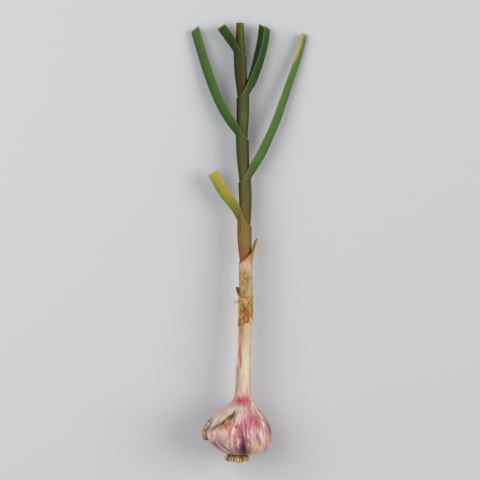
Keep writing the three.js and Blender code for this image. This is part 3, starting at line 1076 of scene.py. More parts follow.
    def rule(self, across: float, along: float) -> Spot:
        """The spot at shares round the bulb and along its outline.

        Args:
            across: Share of the way round.
            along: Share of the outline from the root end.

        Returns:
            The spot.
        """
        angle = math.pi * (1 - 2 * across)
        distance = along * self.form.curve.length
        azimuth = math.degrees(math.atan2(math.cos(angle), math.sin(angle)))
        x, z = math.cos(angle), math.sin(angle)
        profile, _ = self.form.curve.at(distance)
        fine = self.fibre_lift * (
            ripple(x * 46, z * 46, distance * 0.05) + 0.6 * ripple(x * 19, z * 19, distance * 0.04)
        )
        lump = 0.5 * ripple(x * 3, z * 3, distance * 0.06) * ramp(profile.x, 7, 18)
        flute = 0.12 * ripple(x * 5, z * 5, distance * 0.012) * ramp(profile.y, 30, 45)
        lift = (fine + min(lump, 0) + flute - 0.18) * ramp(profile.x, 0.5, 6)
        if along < 0.0001:
            angle = math.pi / 2
        point, radius, y = self.form.point(distance, angle, lift)
        if along > 0.9999:
            point = Stem.at(profile.y)
        fibre = Vector((x * radius, z * radius, distance * 0.07))
        return Spot(point, self.tint(azimuth, y, radius), fibre)

    def build(self) -> list[bpy.types.Object]:
        """Makes and dresses the bulb.

        Returns:
            The finished piece.
        """
        bulb = Bench.sheet("bulb_and_neck", self.columns, self.rows, self.rule)
        Bench.smooth(bulb, 60)
        return [Bench.hand_over(bulb, self.finish.build(), Slot.BULB_SKIN, "bulb")]


@dataclass
class TornSkin(SubAssembly):
    """The papery outer skin over the bulb's shoulders, torn below, and a loose flap on the left."""

    bulb: Bulb
    columns: int = 300
    rows: int = 64
    first: float = 82
    span: float = 140
    thickness: float = 0.22
    finish: Finish = Finish(
        "papery_outer_skin",
        fibre_scale=1500,
        fibre_dark=0.3,
        fibre_pale=0.12,
        speck_tone=0x8A6038,
        speck_amount=0.5,
        roughness=(0.45, 0.7),
        bump=0.4,
        glow=0.08,
        sheen=0.05,
        specular=0.3,
    )
    torn_at: Table = Table(  # the torn edge without its teeth, by azimuth
        [
            [-132, 11],
            [-100, 12],
            [-70, 12],
            [-56, 8.5],
            [-49, 7.5],
            [-42, 10.5],
            [-34, 14],
            [-25, 17.5],
            [-18, 20],
            [-8, 22],
            [8, 22],
        ]
    )
    beige: Tone = tone(0xE2D2BE)
    warm: Tone = tone(0xE0C8BA)
    dusty: Tone = tone(0xBFA68E)
    flap_pale: Tone = tone(0xCDB190)
    flap_dark: Tone = tone(0x9A6C44)
    flap_rim: Tone = tone(0x5E3C26)
    fringe: Tone = tone(0xA85F40)
    burnt: Tone = tone(0x5E4024)
    lilac: Tone = tone(0x8E6A80)

    @property
    def form(self) -> BulbForm:
        """The shape under the skin."""
        return self.bulb.form

    def edge(self, azimuth: float) -> float:
        """Where the skin is torn off, as a distance along the stem.

        Args:
            azimuth: Degrees from straight up towards the right.

        Returns:
            The torn edge's distance along the stem.
        """
        loose = 0.5 + ramp(azimuth, -58, -44) * (1 - ramp(azimuth, -16, -4))
        teeth = 2.0 * ripple(azimuth * 0.16, 3.1) + 2.2 * ripple(azimuth * 0.42, 8.2)
        tatters = 4.6 * max(ripple(azimuth * 0.9, 1.7), 0) ** 0.8
        return self.torn_at(azimuth)[0] - loose * (teeth + tatters)

    def rule(self, across: float, along: float) -> Spot:
        """The spot at shares across the skin and up it.

        Args:
            across: Share across the skin.
            along: Share of the way up from its torn edge.

        Returns:
            The spot.
        """
        angle = math.radians(self.first + self.span * (1 - across))
        azimuth = math.degrees(math.atan2(math.cos(angle), math.sin(angle)))
        low = self.form.distance_at(max(self.edge(azimuth), 2.0))
        top = mix(38, 60, ramp(-azimuth, 20, 70)) + 2 * ripple(azimuth * 0.3, 5)
        high = self.form.distance_at(top)
        distance = mix(low, high, along**1.15)
        up = distance - low
        curl = 0.55 * math.exp(-up / 1.6) * (0.6 + ripple(azimuth * 0.35, 2.2))
        puff = 0.18 * ripple(azimuth * 0.12, distance * 0.2)
        side = min(across, 1 - across) * self.span
        lift = 0.28 + max(curl, -0.1) + puff * ramp(up, 0, 6) + 0.35 * (1 - ramp(side, 0, 5))
        lift *= 1 - 0.45 * ramp(distance, high - 12, high)
        lift = mix(lift, 0.1, ramp(azimuth, -24, 2))
        point, radius, y = self.form.point(distance, angle, lift)
        line = ripple(azimuth * 0.9, distance * 0.03)
        colour = mix_tone(self.beige, self.warm, ramp(azimuth, -30, 10))
        grain = ripple(azimuth * 0.55, distance * 0.35, 6)
        patchy = ripple(azimuth * 0.12, distance * 0.16, 4)
        colour = shade(colour, 1 + 0.16 * line + 0.14 * grain)
        colour = mix_tone(colour, self.dusty, 0.55 * ramp(patchy + 0.5 * grain, 0.0, 0.4))
        blush = ramp(ripple(azimuth * 0.1, distance * 0.12, 2) + 0.4 * line, 0.12, 0.5)
        colour = mix_tone(colour, self.bulb.pink, 0.4 * blush * ramp(azimuth, -64, -24))
        patch = 0.8 * ramp(azimuth + 6 * ripple(y * 0.4, 1), -28, -8)
        patch = max(patch, 0.8 * ramp(-azimuth + 5 * ripple(y * 0.3, 2), 48, 58))
        under = max(ramp(y + 1.2 * ripple(azimuth * 0.2, 9), 23.5, 27.5), patch)
        colour = mix_tone(colour, self.bulb.tint(azimuth, y, radius), under)
        front = ramp(azimuth, -56, -44) * (1 - ramp(azimuth, -16, -6))
        burn = math.exp(-up / (0.6 + 1.5 * front)) * (0.4 + 0.6 * front)
        burn *= 1 - ramp(azimuth, -14, -4)
        streak = ripple(azimuth * 0.45, distance * 0.08, 4)
        colour = mix_tone(colour, self.fringe, min(burn * 1.6 * ramp(streak, -0.5, 0.2), 1))
        colour = mix_tone(colour, self.burnt, min(burn * 1.5 * ramp(-streak, -0.15, 0.25), 1))
        edge_left = ramp(-azimuth, 52, 66) * (1 - ramp(up, 1, 8))
        colour = mix_tone(colour, self.lilac, 0.75 * edge_left)
        fibre = Vector((math.cos(angle) * radius, math.sin(angle) * radius, distance * 0.06))
        wall = mix(0.35, 1, ramp(min(up, high - distance), 0, 2))
        return Spot(point, colour, fibre, wall * mix(1, 0.4, ramp(azimuth, -20, 6)))

    def flap_rule(self, across: float, along: float) -> Spot:
        """The spot at shares across and up the loose flap on the left.

        Args:
            across: Share across the flap.
            along: Share of the way up.

        Returns:
            The spot.
        """
        azimuth = mix(-64, -98, across) + 2.4 * ripple(along * 4, 6.6)
        top, bottom = 9.0, -3.6 - 1.6 * ripple(azimuth * 0.2, 7.7) - 0.7 * ripple(azimuth * 0.9, 2)
        low, high = self.form.distance_at(bottom), self.form.distance_at(top)
        distance = mix(low, high, along)
        angle = math.radians(90 - azimuth)
        side = math.sin(math.pi * across)
        loose = (1 - along) ** 1.5
        lift = 0.3 + 0.75 * loose * (0.5 + side) + 0.2 * ripple(azimuth * 0.2, distance * 0.3)
        point, radius, _ = self.form.point(distance, angle, lift * (1 - 0.6 * ramp(along, 0.8, 1)))
        mottle = ripple(azimuth * 0.5, distance * 0.35)
        colour = mix_tone(self.flap_pale, self.flap_dark, ramp(mottle, -0.25, 0.25))
        rim = max(
            math.exp(-along / 0.16),
            0.5 * math.exp(-(1 - across) / 0.1),
            0.3 * math.exp(-across / 0.08),
        )
        colour = mix_tone(colour, self.flap_rim, rim)
        fibre = Vector((math.cos(angle) * radius, math.sin(angle) * radius, distance * 0.06))
        return Spot(point, colour, fibre, mix(0.4, 1, side))

    def build(self) -> list[bpy.types.Object]:
        """Makes and dresses the torn skin and its flap.

        Returns:
            The finished pieces.
        """
        finish = self.finish.build()
        skin = Bench.sheet("torn_outer_skin_shoulders", self.columns, self.rows, self.rule)
        flap = Bench.sheet("torn_outer_skin_flap", 48, 44, self.flap_rule)
        pieces = []
        for piece in (skin, flap):
            Bench.thicken(piece, self.thickness)
            Bench.smooth(piece, 60)
            pieces.append(Bench.hand_over(piece, finish, Slot.DRY_SKIN, "torn_outer_skin"))
        return pieces


@dataclass
class RootTuft(SubAssembly):
    """The root plate under the bulb with its brush of trimmed roots."""

    plate_y: float = -16.8
    plate_radius: float = 8.8
    count: int = 78
    reach: float = 9.0
    seed: int = 7
    finish: Finish = Finish(
        "dried_roots",
        fibre_scale=1600,
        fibre_dark=0.4,
        fibre_pale=0.2,
        speck_tone=0x5A3E1E,
        speck_amount=0.7,
        roughness=(0.55, 0.8),
        bump=0.5,
    )
    straw: Tone = tone(0xDDB982)
    pale: Tone = tone(0xEED6AA)
    brown: Tone = tone(0x5C3E1E)
    # Brown of the dried root base, deepened to give painted shade between the roots and at their feet;
    # it is also mixed in at random.
    cut: Tone = tone(0xEBD2A6)

    def plate(self) -> bpy.types.Object:
        """Models the root plate: a low drum, stepped in below and roughened.

        Returns:
            The plate, in place.
        """
        centre = Stem.at(self.plate_y)
        Bench.clear()
        bpy.ops.mesh.primitive_cylinder_add(
            vertices=40,
            radius=self.plate_radius * MM,
            depth=2.6 * MM,
            location=Vector((centre.x - 0.3, self.plate_y - 0.9, centre.z)) * MM,
            rotation=(math.pi / 2, 0, 0),
        )
        plate = bpy.context.object
        bpy.ops.object.transform_apply(location=True, rotation=True, scale=True)
        lowest = min(plate.data.polygons, key=lambda face: face.center.y).index
        Bench.edit(plate, lambda: bpy.ops.mesh.select_all(action="DESELECT"))
        plate.data.polygons[lowest].select = True
        Bench.take(plate)
        bpy.ops.object.mode_set(mode="EDIT")
        for inset, drop in ((0.8, -0.5), (1.6, -0.5), (2.2, -0.3)):
            bpy.ops.mesh.inset(thickness=inset * MM)
            bpy.ops.transform.translate(value=(0, drop * MM, 0))
        bpy.ops.mesh.poke()
        bpy.ops.mesh.select_all(action="SELECT")
        bpy.ops.mesh.subdivide(number_cuts=1)
        bpy.ops.object.mode_set(mode="OBJECT")
        for vertex in plate.data.vertices:
            spot = vertex.co / MM
            vertex.co += Vector((1, 0.6, 1)) * 0.25 * MM * ripple(spot.x, spot.y, spot.z)
        return plate

    def root(self) -> bpy.types.Object:
        """Models one trimmed root, pointing down from the origin: bent, tapered and cut off.

        Returns:
            The root, 8 mm long.
        """
        Bench.clear()
        bpy.ops.mesh.primitive_cylinder_add(
            vertices=8, radius=0.8 * MM, depth=1.2 * MM, location=(0, 0, -0.2 * MM)
        )
        root = bpy.context.object
        bpy.ops.object.transform_apply(location=True, rotation=True, scale=True)
        lowest = min(root.data.polygons, key=lambda face: face.center.z).index
        Bench.edit(root, lambda: bpy.ops.mesh.select_all(action="DESELECT"))
        root.data.polygons[lowest].select = True
        Bench.take(root)
        bpy.ops.object.mode_set(mode="EDIT")
        x = 0.0
        z = -0.8
        for step, bend, scale in (
            (1.1, 0.10, 1.06),
            (1.2, 0.26, 1.0),
            (1.2, 0.34, 0.95),
            (1.2, 0.1, 1.03),
            (1.1, -0.2, 0.94),
            (1.0, -0.25, 0.94),
        ):
            x, z = x + bend, z - step
            bpy.ops.mesh.extrude_region_move(
                TRANSFORM_OT_translate={"value": (bend * MM, 0, -step * MM)}
            )
            bpy.ops.transform.resize(value=(scale,) * 3, center_override=(x * MM, 0, z * MM))
        bpy.ops.mesh.inset(thickness=0.16 * MM)
        bpy.ops.transform.translate(value=(0, 0, 0.22 * MM))
        bpy.ops.object.mode_set(mode="OBJECT")
        Bench.sort_faces(root)
        return root

    def build(self) -> list[bpy.types.Object]:
        """Makes and dresses the root tuft.

        Returns:
            The finished piece.
        """
        chance = random.Random(self.seed)
        centre = Stem.at(self.plate_y)
        middle = Vector((centre.x - 0.3, self.plate_y, centre.z))
        plate = self.plate()
        # The plate is painted dark brown: its own colour, deepened as painted shade where it shows
        # between the roots.
        Bench.paint(plate, lambda spot: (shade(self.brown, 1 + 0.4 * ripple(*spot)), spot))
        pattern = self.root()
        roots = []
        golden = math.pi * (3 - math.sqrt(5))
        for k in range(self.count):
            share = math.sqrt((k + 0.5) / self.count)
            turn = k * golden + chance.uniform(-0.2, 0.2)
            length = (mix(8.7, 6.2, share**2) + chance.uniform(-0.8, 0.4)) / 8
            girth = chance.uniform(0.7, 1.2)
            splay = 0.55 * share + chance.uniform(-0.2, 0.2)
            outwards = Vector((math.cos(turn), 0, math.sin(turn)))
            lean = Matrix.Rotation(splay, 4, "Y")
            spin = Matrix.Rotation(chance.uniform(-0.9, 0.9), 4, "Z")
            across = Vector((-outwards.z, 0, outwards.x))
            basis = Matrix((outwards, across, Vector((0, 1, 0)))).transposed()
            foot = middle + outwards * self.reach * share * chance.uniform(0.92, 1.0)
            foot.y += 0.3 + chance.uniform(-0.3, 0.2) - 0.5 * share
            size = Matrix.Diagonal((girth, girth, length, 1))
            copy = pattern.copy()
            copy.data = pattern.data.copy()
            bpy.context.scene.collection.objects.link(copy)
            place = Matrix.Translation(foot * MM) @ basis.to_4x4() @ lean.inverted() @ spin @ size
            copy.data.transform(place)
            colour = mix_tone(self.straw, self.pale, chance.random())
            colour = mix_tone(colour, self.brown, 0.5 * chance.random() ** 2)
            tip_y = foot.y - 8 * length

            def rule(
                spot: Vector, colour: Tone = colour, foot: Vector = foot, tip: float = tip_y
            ) -> tuple[Tone, Vector]:
                """The tint and fibre of a point on this root.

                Args:
                    spot: The point.
                    colour: The root's own colour.
                    foot: Where the root leaves its plate.
                    tip: How far along the stem its cut end is.

                Returns:
                    The linear colour and the fibre direction.
                """
                # Painted shade: each root darkens to brown towards the plate, where the roots crowd
                # together.
                down = ramp(foot.y - spot.y, 0, 3.5)
                tinted = mix_tone(self.brown, colour, 0.3 + 0.7 * down)
                soil = ripple(spot.x * 0.9, spot.y * 1.3, spot.z * 0.9)
                tinted = mix_tone(tinted, self.brown, 0.45 * ramp(soil, 0.1, 0.5))
                grain = Vector((spot.x, spot.z, spot.y * 0.2))
                return mix_tone(tinted, self.cut, ramp(tip + 0.9 - spot.y, 0, 0.6) * 0.6), grain

            Bench.paint(copy, rule)
            roots.append(copy)
        bpy.data.objects.remove(pattern)
        tuft = Bench.join([plate, *roots], "root_tuft_brush")
        Bench.edit(tuft, lambda: bpy.ops.mesh.normals_make_consistent(inside=False))
        Bench.smooth(tuft, 50)
        return [Bench.hand_over(tuft, self.finish.build(), Slot.ROOTS, "root_tuft")]


@dataclass
class WitheredCollar(SubAssembly):
    """The outermost leaf, rotted back to a mottled collar, its blade's stub and a curl of skin."""

    columns: int = 220
    rows: int = 84
    radius: float = 6.62
    thickness: float = 0.24
    finish: Finish = Finish(
        "rotted_collar_skin",
        fibre_scale=1300,
        fibre_dark=0.4,
        fibre_pale=0.15,
        speck_tone=0x4A2C10,
        speck_amount=0.9,
        roughness=(0.5, 0.75),
        bump=0.5,
        glow=0.03,
        specular=0.25,
    )
    stub_tone: Tone = tone(0x6E4218)
    golden: Tone = tone(0xE0B46C)
    ochre: Tone = tone(0xB88E4C)
    straw: Tone = tone(0xD2B178)
    rust: Tone = tone(0xAA682A)
    spot_tone: Tone = tone(0x4E2C0E)

    def colour(self, x: float, z: float, y: float) -> Tone:
        """The mottled colour of the collar.

        Args:
            x: Cosine of the angle round the stem.
            z: Its sine.
            y: Distance along the stem.

        Returns:
            The linear colour.
        """
        large = ripple(x * 2.6, z * 2.6, y * 0.16)
        small = ripple(x * 7 + 3, z * 7, y * 0.42)
        tiny = ripple(x * 13, z * 13, y * 0.6)
        colour = mix_tone(self.straw, self.ochre, ramp(large, -0.45, 0.2))
        low = 1 - ramp(y, 107, 117)
        colour = mix_tone(colour, self.rust, low * 0.85 * ramp(large + 0.5 * small, -0.45, 0.1))
        colour = mix_tone(colour, self.rust, 0.6 * ramp(small + 0.4 * large, 0.12, 0.5))
        seen = 1 - 0.5 * ramp(abs(x), 0.55, 0.95)
        colour = mix_tone(colour, self.spot_tone, seen * 0.9 * ramp(tiny + 0.8 * small, 0.2, 0.5))
        colour = mix_tone(colour, self.straw, 0.6 * ramp(-tiny - small, 0.25, 0.7))
        blot = math.exp(-(((y - 110.5) / 6) ** 2) - (x / 0.6) ** 2)
        blot *= 0.9 * ramp(ripple(x * 8, z * 8, y * 0.2), 0.0, 0.25)
        return mix_tone(colour, self.spot_tone, blot)

    def rule(self, across: float, along: float) -> Spot:
        """The spot at shares round the collar and up it.

        Args:
            across: Share of the way round.
            along: Share of the way up.

        Returns:
            The spot.
        """
        angle = math.pi * (1 - 2 * across)
        x, z = math.cos(angle), math.sin(angle)
        tatters = 1.6 * ripple(x * 4, z * 4, 1.5) + 1.3 * ripple(x * 13, z * 13, 3)
        lower = 100.2 + 3.2 * x + 1.0 * math.sin(5 * z + 1) + tatters
        fray = 3.4 * ripple(x * 2.9, z * 2.9, 4.2) + 2.0 * ripple(x * 9, z * 9, 2)
        flap = 1 - ramp(abs(turned(math.degrees(angle) - 165)), 13, 18)
        upper = mix(122.6 + fray, 132.1, flap)
        y = mix(lower, upper, along)
        lean = 0.5 * ramp(y, 124.0, 132.5) if x < 0 else 0.0
        wrinkle = 0.12 * ripple(x * 8, z * 8, y * 0.12) + 0.1 * ripple(x * 3, z * 3, y * 0.35)
        hem = 0.18 * math.exp(-(y - lower) / 1.2) + 0.22 * math.exp(-(upper - y) / 1.2)
        reach = self.radius + max(wrinkle, -0.12) + hem + lean + 0.12
        centre = Stem.at(y)
        fan = ramp(turned(math.degrees(angle) - 147), 0, 36) * flap
        spread = 1.7 * fan * ramp(y, 123.5, 129)
        point = Vector((centre.x + reach * x - spread, y, centre.z + reach * z))
        fibre = Vector((x * self.radius, z * self.radius, y * 0.1))
        rim = math.exp(-(upper - y) / 0.6)
        colour = mix_tone(self.colour(x, z, y), self.straw, 0.5 * rim)
        colour = mix_tone(colour, self.stub_tone, ramp(y, 123.5, 126) * flap)
        return Spot(point, colour, fibre, mix(0.5, 1, ramp(min(y - lower, upper - y), 0, 1.5)))

    def curl_rule(self, across: float, along: float) -> Spot:
        """The spot at shares across and along the curl of dry skin on the left.

        Args:
            across: Share of its width.
            along: Share of its turn.

        Returns:
            The spot.
        """
        turn = math.radians(mix(-40, 305, along))
        radius = 1.9 - 0.4 * along + 0.25 * ripple(along * 3, across * 2)
        middle = Stem.at(118)
        width = 2.8 * (1 - 0.35 * along) + 0.5 * ripple(along * 6, 4.4)
        point = Vector(
            (
                middle.x - 8.7 + radius * math.cos(turn),
                118.8 + radius * math.sin(turn),
                middle.z + 1.2 + width * (0.5 - across),
            )
        )
        colour = mix_tone(self.golden, self.ochre, ramp(ripple(along * 5, across * 3), 0.0, 0.6))
        return Spot(point, colour, Vector((across * 3, along * 2, 0)))

    def build(self) -> list[bpy.types.Object]:
        """Makes and dresses the collar and its curl.

        Returns:
            The finished pieces.
        """
        finish = self.finish.build()
        collar = Bench.sheet("withered_collar_ring", self.columns, self.rows, self.rule)
        curl = Bench.sheet("withered_collar_curl", 10, 40, self.curl_rule)
        pieces = []
        for piece, thickness in ((collar, self.thickness), (curl, 0.95)):
            Bench.thicken(piece, thickness)
            Bench.smooth(piece, 60)
            pieces.append(Bench.hand_over(piece, finish, Slot.WITHERED_SHEATH, "withered_collar"))
        return pieces


# The leaves


class Station(NamedTuple):
    """A cross-section of a leaf: on its round sheath, or at a distance past its mouth's foot."""

    y: float
    distance: float  # below 0 on the round sheath


@dataclass
class Leaf(SubAssembly):
    """A leaf: a round sheath, an oblique mouth and a folded blade, cut short."""

    name: str
    node: str
    slot: Slot
    side: Side
    bottom: float
    mouth_low: float
    mouth_rise: float
    radius: Rows
    keel: Rows
    blade: Rows
    # Tones across the sheath and the blade: the leaf's own colours, with painted shade on the side away
    # from the light and a painted highlight on the lit side or middle.
    sheath_tones_and_shading: Rows
    blade_tones_and_shading: Rows
    finish: Finish
    sheath_depth: float = 1.0  # how much darker and richer than its tones the sheath is
    blade_depth: float = 1.0
    slant: float = 0.0
    notch: float = 0.0
    rim_tone: int = 0xC9BE8A
    end_tone: int = 0xC8B070
    shrivel: float = 0.0  # how far the blade's margins wither
    rim_from: float = 0.955  # where the mouth's coloured rim starts, as a share of the half width
    dry_from: float = 1000.0  # where one margin turns dry, along the blade
    dry_tone: int = 0xC8A258
    mottle_tone: int = 0
    mottle_band: tuple[float, float] = (0.0, 0.0)  # where the sheath is mottled, along the stem
    columns: int = 72
    wall: float = 0.75
    settle: float = 13.0  # how far past the mouth the sheath turns into the blade

    def __post_init__(self) -> None:
        """Reads the tables once."""
        self.radius_at = Table(self.radius)
        self.blade_at = Table(self.blade)
        self.sheath_tint_and_shading = TonedTable(self.sheath_tones_and_shading, self.sheath_depth)
        self.blade_tint_and_shading = TonedTable(self.blade_tones_and_shading, self.blade_depth)
        self.hue = (sum(map(ord, self.name)) % 97) * 1.37
        start = []
        for share in (0, 0.5, 1):
            point = Stem.at(self.mouth_low + share * self.mouth_rise)
            point.x += self.side.value * self.radius_at(point.y)[0]
            start.append(point)
        self.curve = SmoothCurve([*start, *(Vector(point) for point in self.keel)], 0.5)

    @cached_property
    def stations(self) -> list[Station]:
        """The leaf's cross-sections, from its foot to the cut end of its blade.

        Returns:
            The cross-sections in order.
        """
        foot = max(int((self.mouth_low - self.bottom) / 1.6), 2)
        stations = [
            Station(mix(self.bottom, self.mouth_low, i / foot), -1.0) for i in range(foot)
        ]
        distance = 0.0
        while distance < self.curve.length - 0.3:
            stations.append(Station(0, max(distance, 0.02)))
            if distance < self.mouth_rise + 1:
                distance += 0.25
            elif distance < self.mouth_rise + self.settle:
                distance += 0.5
            else:
                distance += 0.9 if distance < self.curve.length - 4 else 0.4
        return [*stations, Station(0, self.curve.length)]

    def sheath_spot(self, station: Station, t: float) -> Spot:
        """A spot on the round sheath.

        Args:
            station: The cross-section.
            t: -1 to 1 round the sheath from the back of the leaf's side.

        Returns:
            The spot.
        """
        angle = math.pi * t
        side = self.side.value
        x, z = side * math.cos(angle), side * math.sin(angle)
        radius = self.radius_at(station.y)[0] + self.flute(x, z, station.y)
        centre = Stem.at(station.y)
        point = Vector((centre.x + radius * x, station.y, centre.z + radius * z))
        fibre = Vector((x * radius, z * radius, station.y * 0.05))
        # The sheath's colour follows its place from left to right, not the way it faces, so it carries
        # painted shade and a painted highlight as well as its own colours.
        colour = self.mottled(self.sheath_tint_and_shading(station.y, x), x, z, station.y)
        return Spot(point, self.grained(colour, fibre), fibre)

    def mottled(self, colour: Tone, x: float, z: float, y: float) -> Tone:
        """A tint with rotten blotches in the mottled band.

        Args:
            colour: The tint without them.
            x: Cosine of the angle round the stem.
            z: Its sine.
            y: Distance along the stem.

        Returns:
            The linear colour.
        """
        low, high = self.mottle_band
        if not low < y < high:
            return colour
        here = ramp(y, low, low + 3) * (1 - ramp(y, high - 16, high))
        large = ripple(x * 2.2 + 4, z * 2.2, y * 0.11)
        small = ripple(x * 6, z * 6 + 2, y * 0.34)
        rotten = tone(self.mottle_tone)
        share = here * 0.75 * ramp(large + 0.5 * small, -0.02, 0.3)
        colour = mix_tone(colour, rotten, share)
        return mix_tone(colour, shade(rotten, 0.6), here * 0.8 * ramp(small, 0.3, 0.5))

    def flute(self, x: float, z: float, y: float) -> float:
        """The fine ribs along the sheath."""
        coarse = 0.07 * ripple(x * 9 + self.hue, z * 9, y * 0.02)
        return coarse + 0.05 * ripple(x * 22, z * 22, y * 0.03)

    def grained(self, colour: Tone, fibre: Vector) -> Tone:
        """A tint varied from fibre to fibre and place to place.

        Args:
            colour: The tint without it.
            fibre: The place along and across the fibres.

        Returns:
            The linear colour.
        """
        streak = ripple(fibre.x * 1.3 + self.hue, fibre.y * 1.3, fibre.z * 0.8)
        blotch = ripple(fibre.x * 0.25, fibre.y * 0.25 + self.hue, fibre.z * 1.1)
        return shade(colour, 1 + 0.2 * streak + 0.16 * blotch)

    def blade_spot(self, station: Station, t: float) -> Spot:
        """A spot on the mouth or the blade.

        Args:
            station: The cross-section.
            t: -1 to 1 across the leaf, with 0 on its keel.

        Returns:
            The spot.
        """
        side = self.side.value
        distance, length = station.distance, self.curve.length
        origin, tangent = self.curve.at(distance)
        flat = Vector((side, 0, 0))
        outwards = (flat - tangent * tangent.dot(flat)).normalized()
        sideways = outwards.cross(tangent)
        half_width, fold, turn = self.blade_at(distance)
        spin = Quaternion(tangent, side * math.radians(turn))
        outwards, sideways = spin @ outwards, spin @ sideways

        base = self.radius_at(origin.y)[0]
        radius = base + 0.3 * ramp(distance, 0, self.mouth_rise)
        opened = math.acos(min(distance / self.mouth_rise, 1) - 1)
        half_angle = min(opened, half_width / radius + opened - math.pi / 2)
        blend = ramp(distance, self.mouth_rise, self.mouth_rise + self.settle)
        angle = half_angle * t
        sheath = Vector((radius * math.sin(angle), radius * (1 - math.cos(angle))))
        bent = math.radians(fold)
        wavy = 1 + 0.025 * ripple(distance * 0.09, self.hue, t)
        gathered = 0.5 + 0.5 * ripple(distance * 0.2, self.hue)
        margin = 1 - self.shrivel * ramp(abs(t), 0.6, 1) * gathered
        reach = half_width * t * wavy * margin
        blade = Vector(
            (
                reach * math.cos(bent),
                half_width * wavy * math.sin(bent) * (math.hypot(t, 0.13) - 0.13) * margin,
            )
        )
        section = sheath.lerp(blade, blend)
        ribs = 0.05 * blend * math.cos(math.pi * 14 * t) * (1 - ramp(abs(t), 0.9, 1))
        keel = 0.16 * blend * math.exp(-((t / 0.05) ** 2))
        flare = 0.22 * ramp(abs(t), 0.8, 1) * (1 - blend)
        crimp = 0.3 * blend * ramp(abs(t), 0.55, 1) * ripple(distance * 0.12, t * 0.6, self.hue)
        lift = (ribs + keel + crimp) * (1 - 0.85 * ramp(distance, length - 20, length))
        across_way = Vector((math.copysign(math.sin(bent), t), math.cos(bent)))
        section.x += lift * across_way.x * blend + flare * math.sin(angle)
        section.y -= lift * across_way.y * blend + flare * math.cos(angle)

        end = ramp(distance, length - 14, length)
        ragged = 0.25 * ripple(t * 9, self.hue) + 0.12 * ripple(t * 27, self.hue)
        last = ramp(distance, length - 1.2, length)
        cut = end * (self.slant * t + self.notch * abs(t)) + last * ragged
        point = origin + sideways * section.x - outwards * section.y + tangent * cut

        round_x = side * math.cos(angle)
        past = ramp(distance, self.mouth_rise - 2, self.mouth_rise + 20)
        # Sheath and blade colours carry painted shade on the side away from the light and a painted
        # highlight on the lit side, as well as the leaf's own colours.
        colour = mix_tone(
            self.sheath_tint_and_shading(origin.y, round_x), self.blade_tint_and_shading(distance, t * side), past
        )
        if distance < self.mouth_rise + self.settle:
            tube = Vector((round_x * radius, side * math.sin(angle) * radius, origin.y * 0.05))
            fibre = tube.lerp(Vector((round_x * radius, t * half_width, origin.y * 0.05)), blend)
        else:
            fibre = Vector((side * radius * math.cos(angle), t * half_width, origin.y * 0.05))
        colour = self.grained(colour, fibre)
        colour = shade(colour, 1 + 0.09 * blend * math.cos(math.pi * 14 * t))
        rim = ramp(abs(t), self.rim_from, self.rim_from + 0.035)
        rim *= 1 - ramp(distance, self.mouth_rise + 2, self.mouth_rise + 14)
        colour = mix_tone(colour, tone(self.rim_tone), 0.75 * rim)
        dry = ramp(distance, self.dry_from, self.dry_from + 16) * ramp(t * side, 0.6, 0.76)
        colour = mix_tone(colour, tone(self.dry_tone), 0.85 * dry)
        edge = ramp(abs(t), 0.9, 1) * past * 0.35
        colour = mix_tone(colour, tone(self.end_tone), edge)
        dried = math.exp(-(length - distance) / 0.7)
        colour = mix_tone(colour, tone(self.end_tone), 0.8 * dried)
        thin = mix(1, 0.42, ramp(abs(t), 0.25, 1)) * mix(1, 1.1, blend)
        return Spot(point, colour, fibre, min(thin, 1))

    def rule(self, across: float, along: float) -> Spot:
        """The spot at shares across the leaf and along it.

        Args:
            across: Share across the leaf.
            along: Share from its foot to the cut end.

        Returns:
            The spot.
        """
        station = self.stations[round(along * (len(self.stations) - 1))]
        t = 1 - 2 * across
        spot_at = self.sheath_spot if station.distance < 0 else self.blade_spot
        return spot_at(station, t)

    def build(self) -> list[bpy.types.Object]:
        """Makes and dresses the leaf.

        Returns:
            The finished piece.
        """
        leaf = Bench.sheet(self.name, self.columns, len(self.stations) - 1, self.rule)
        Bench.thicken(leaf, self.wall)
        Bench.smooth(leaf, 50)
        return [Bench.hand_over(leaf, self.finish.build(), self.slot, self.node)]


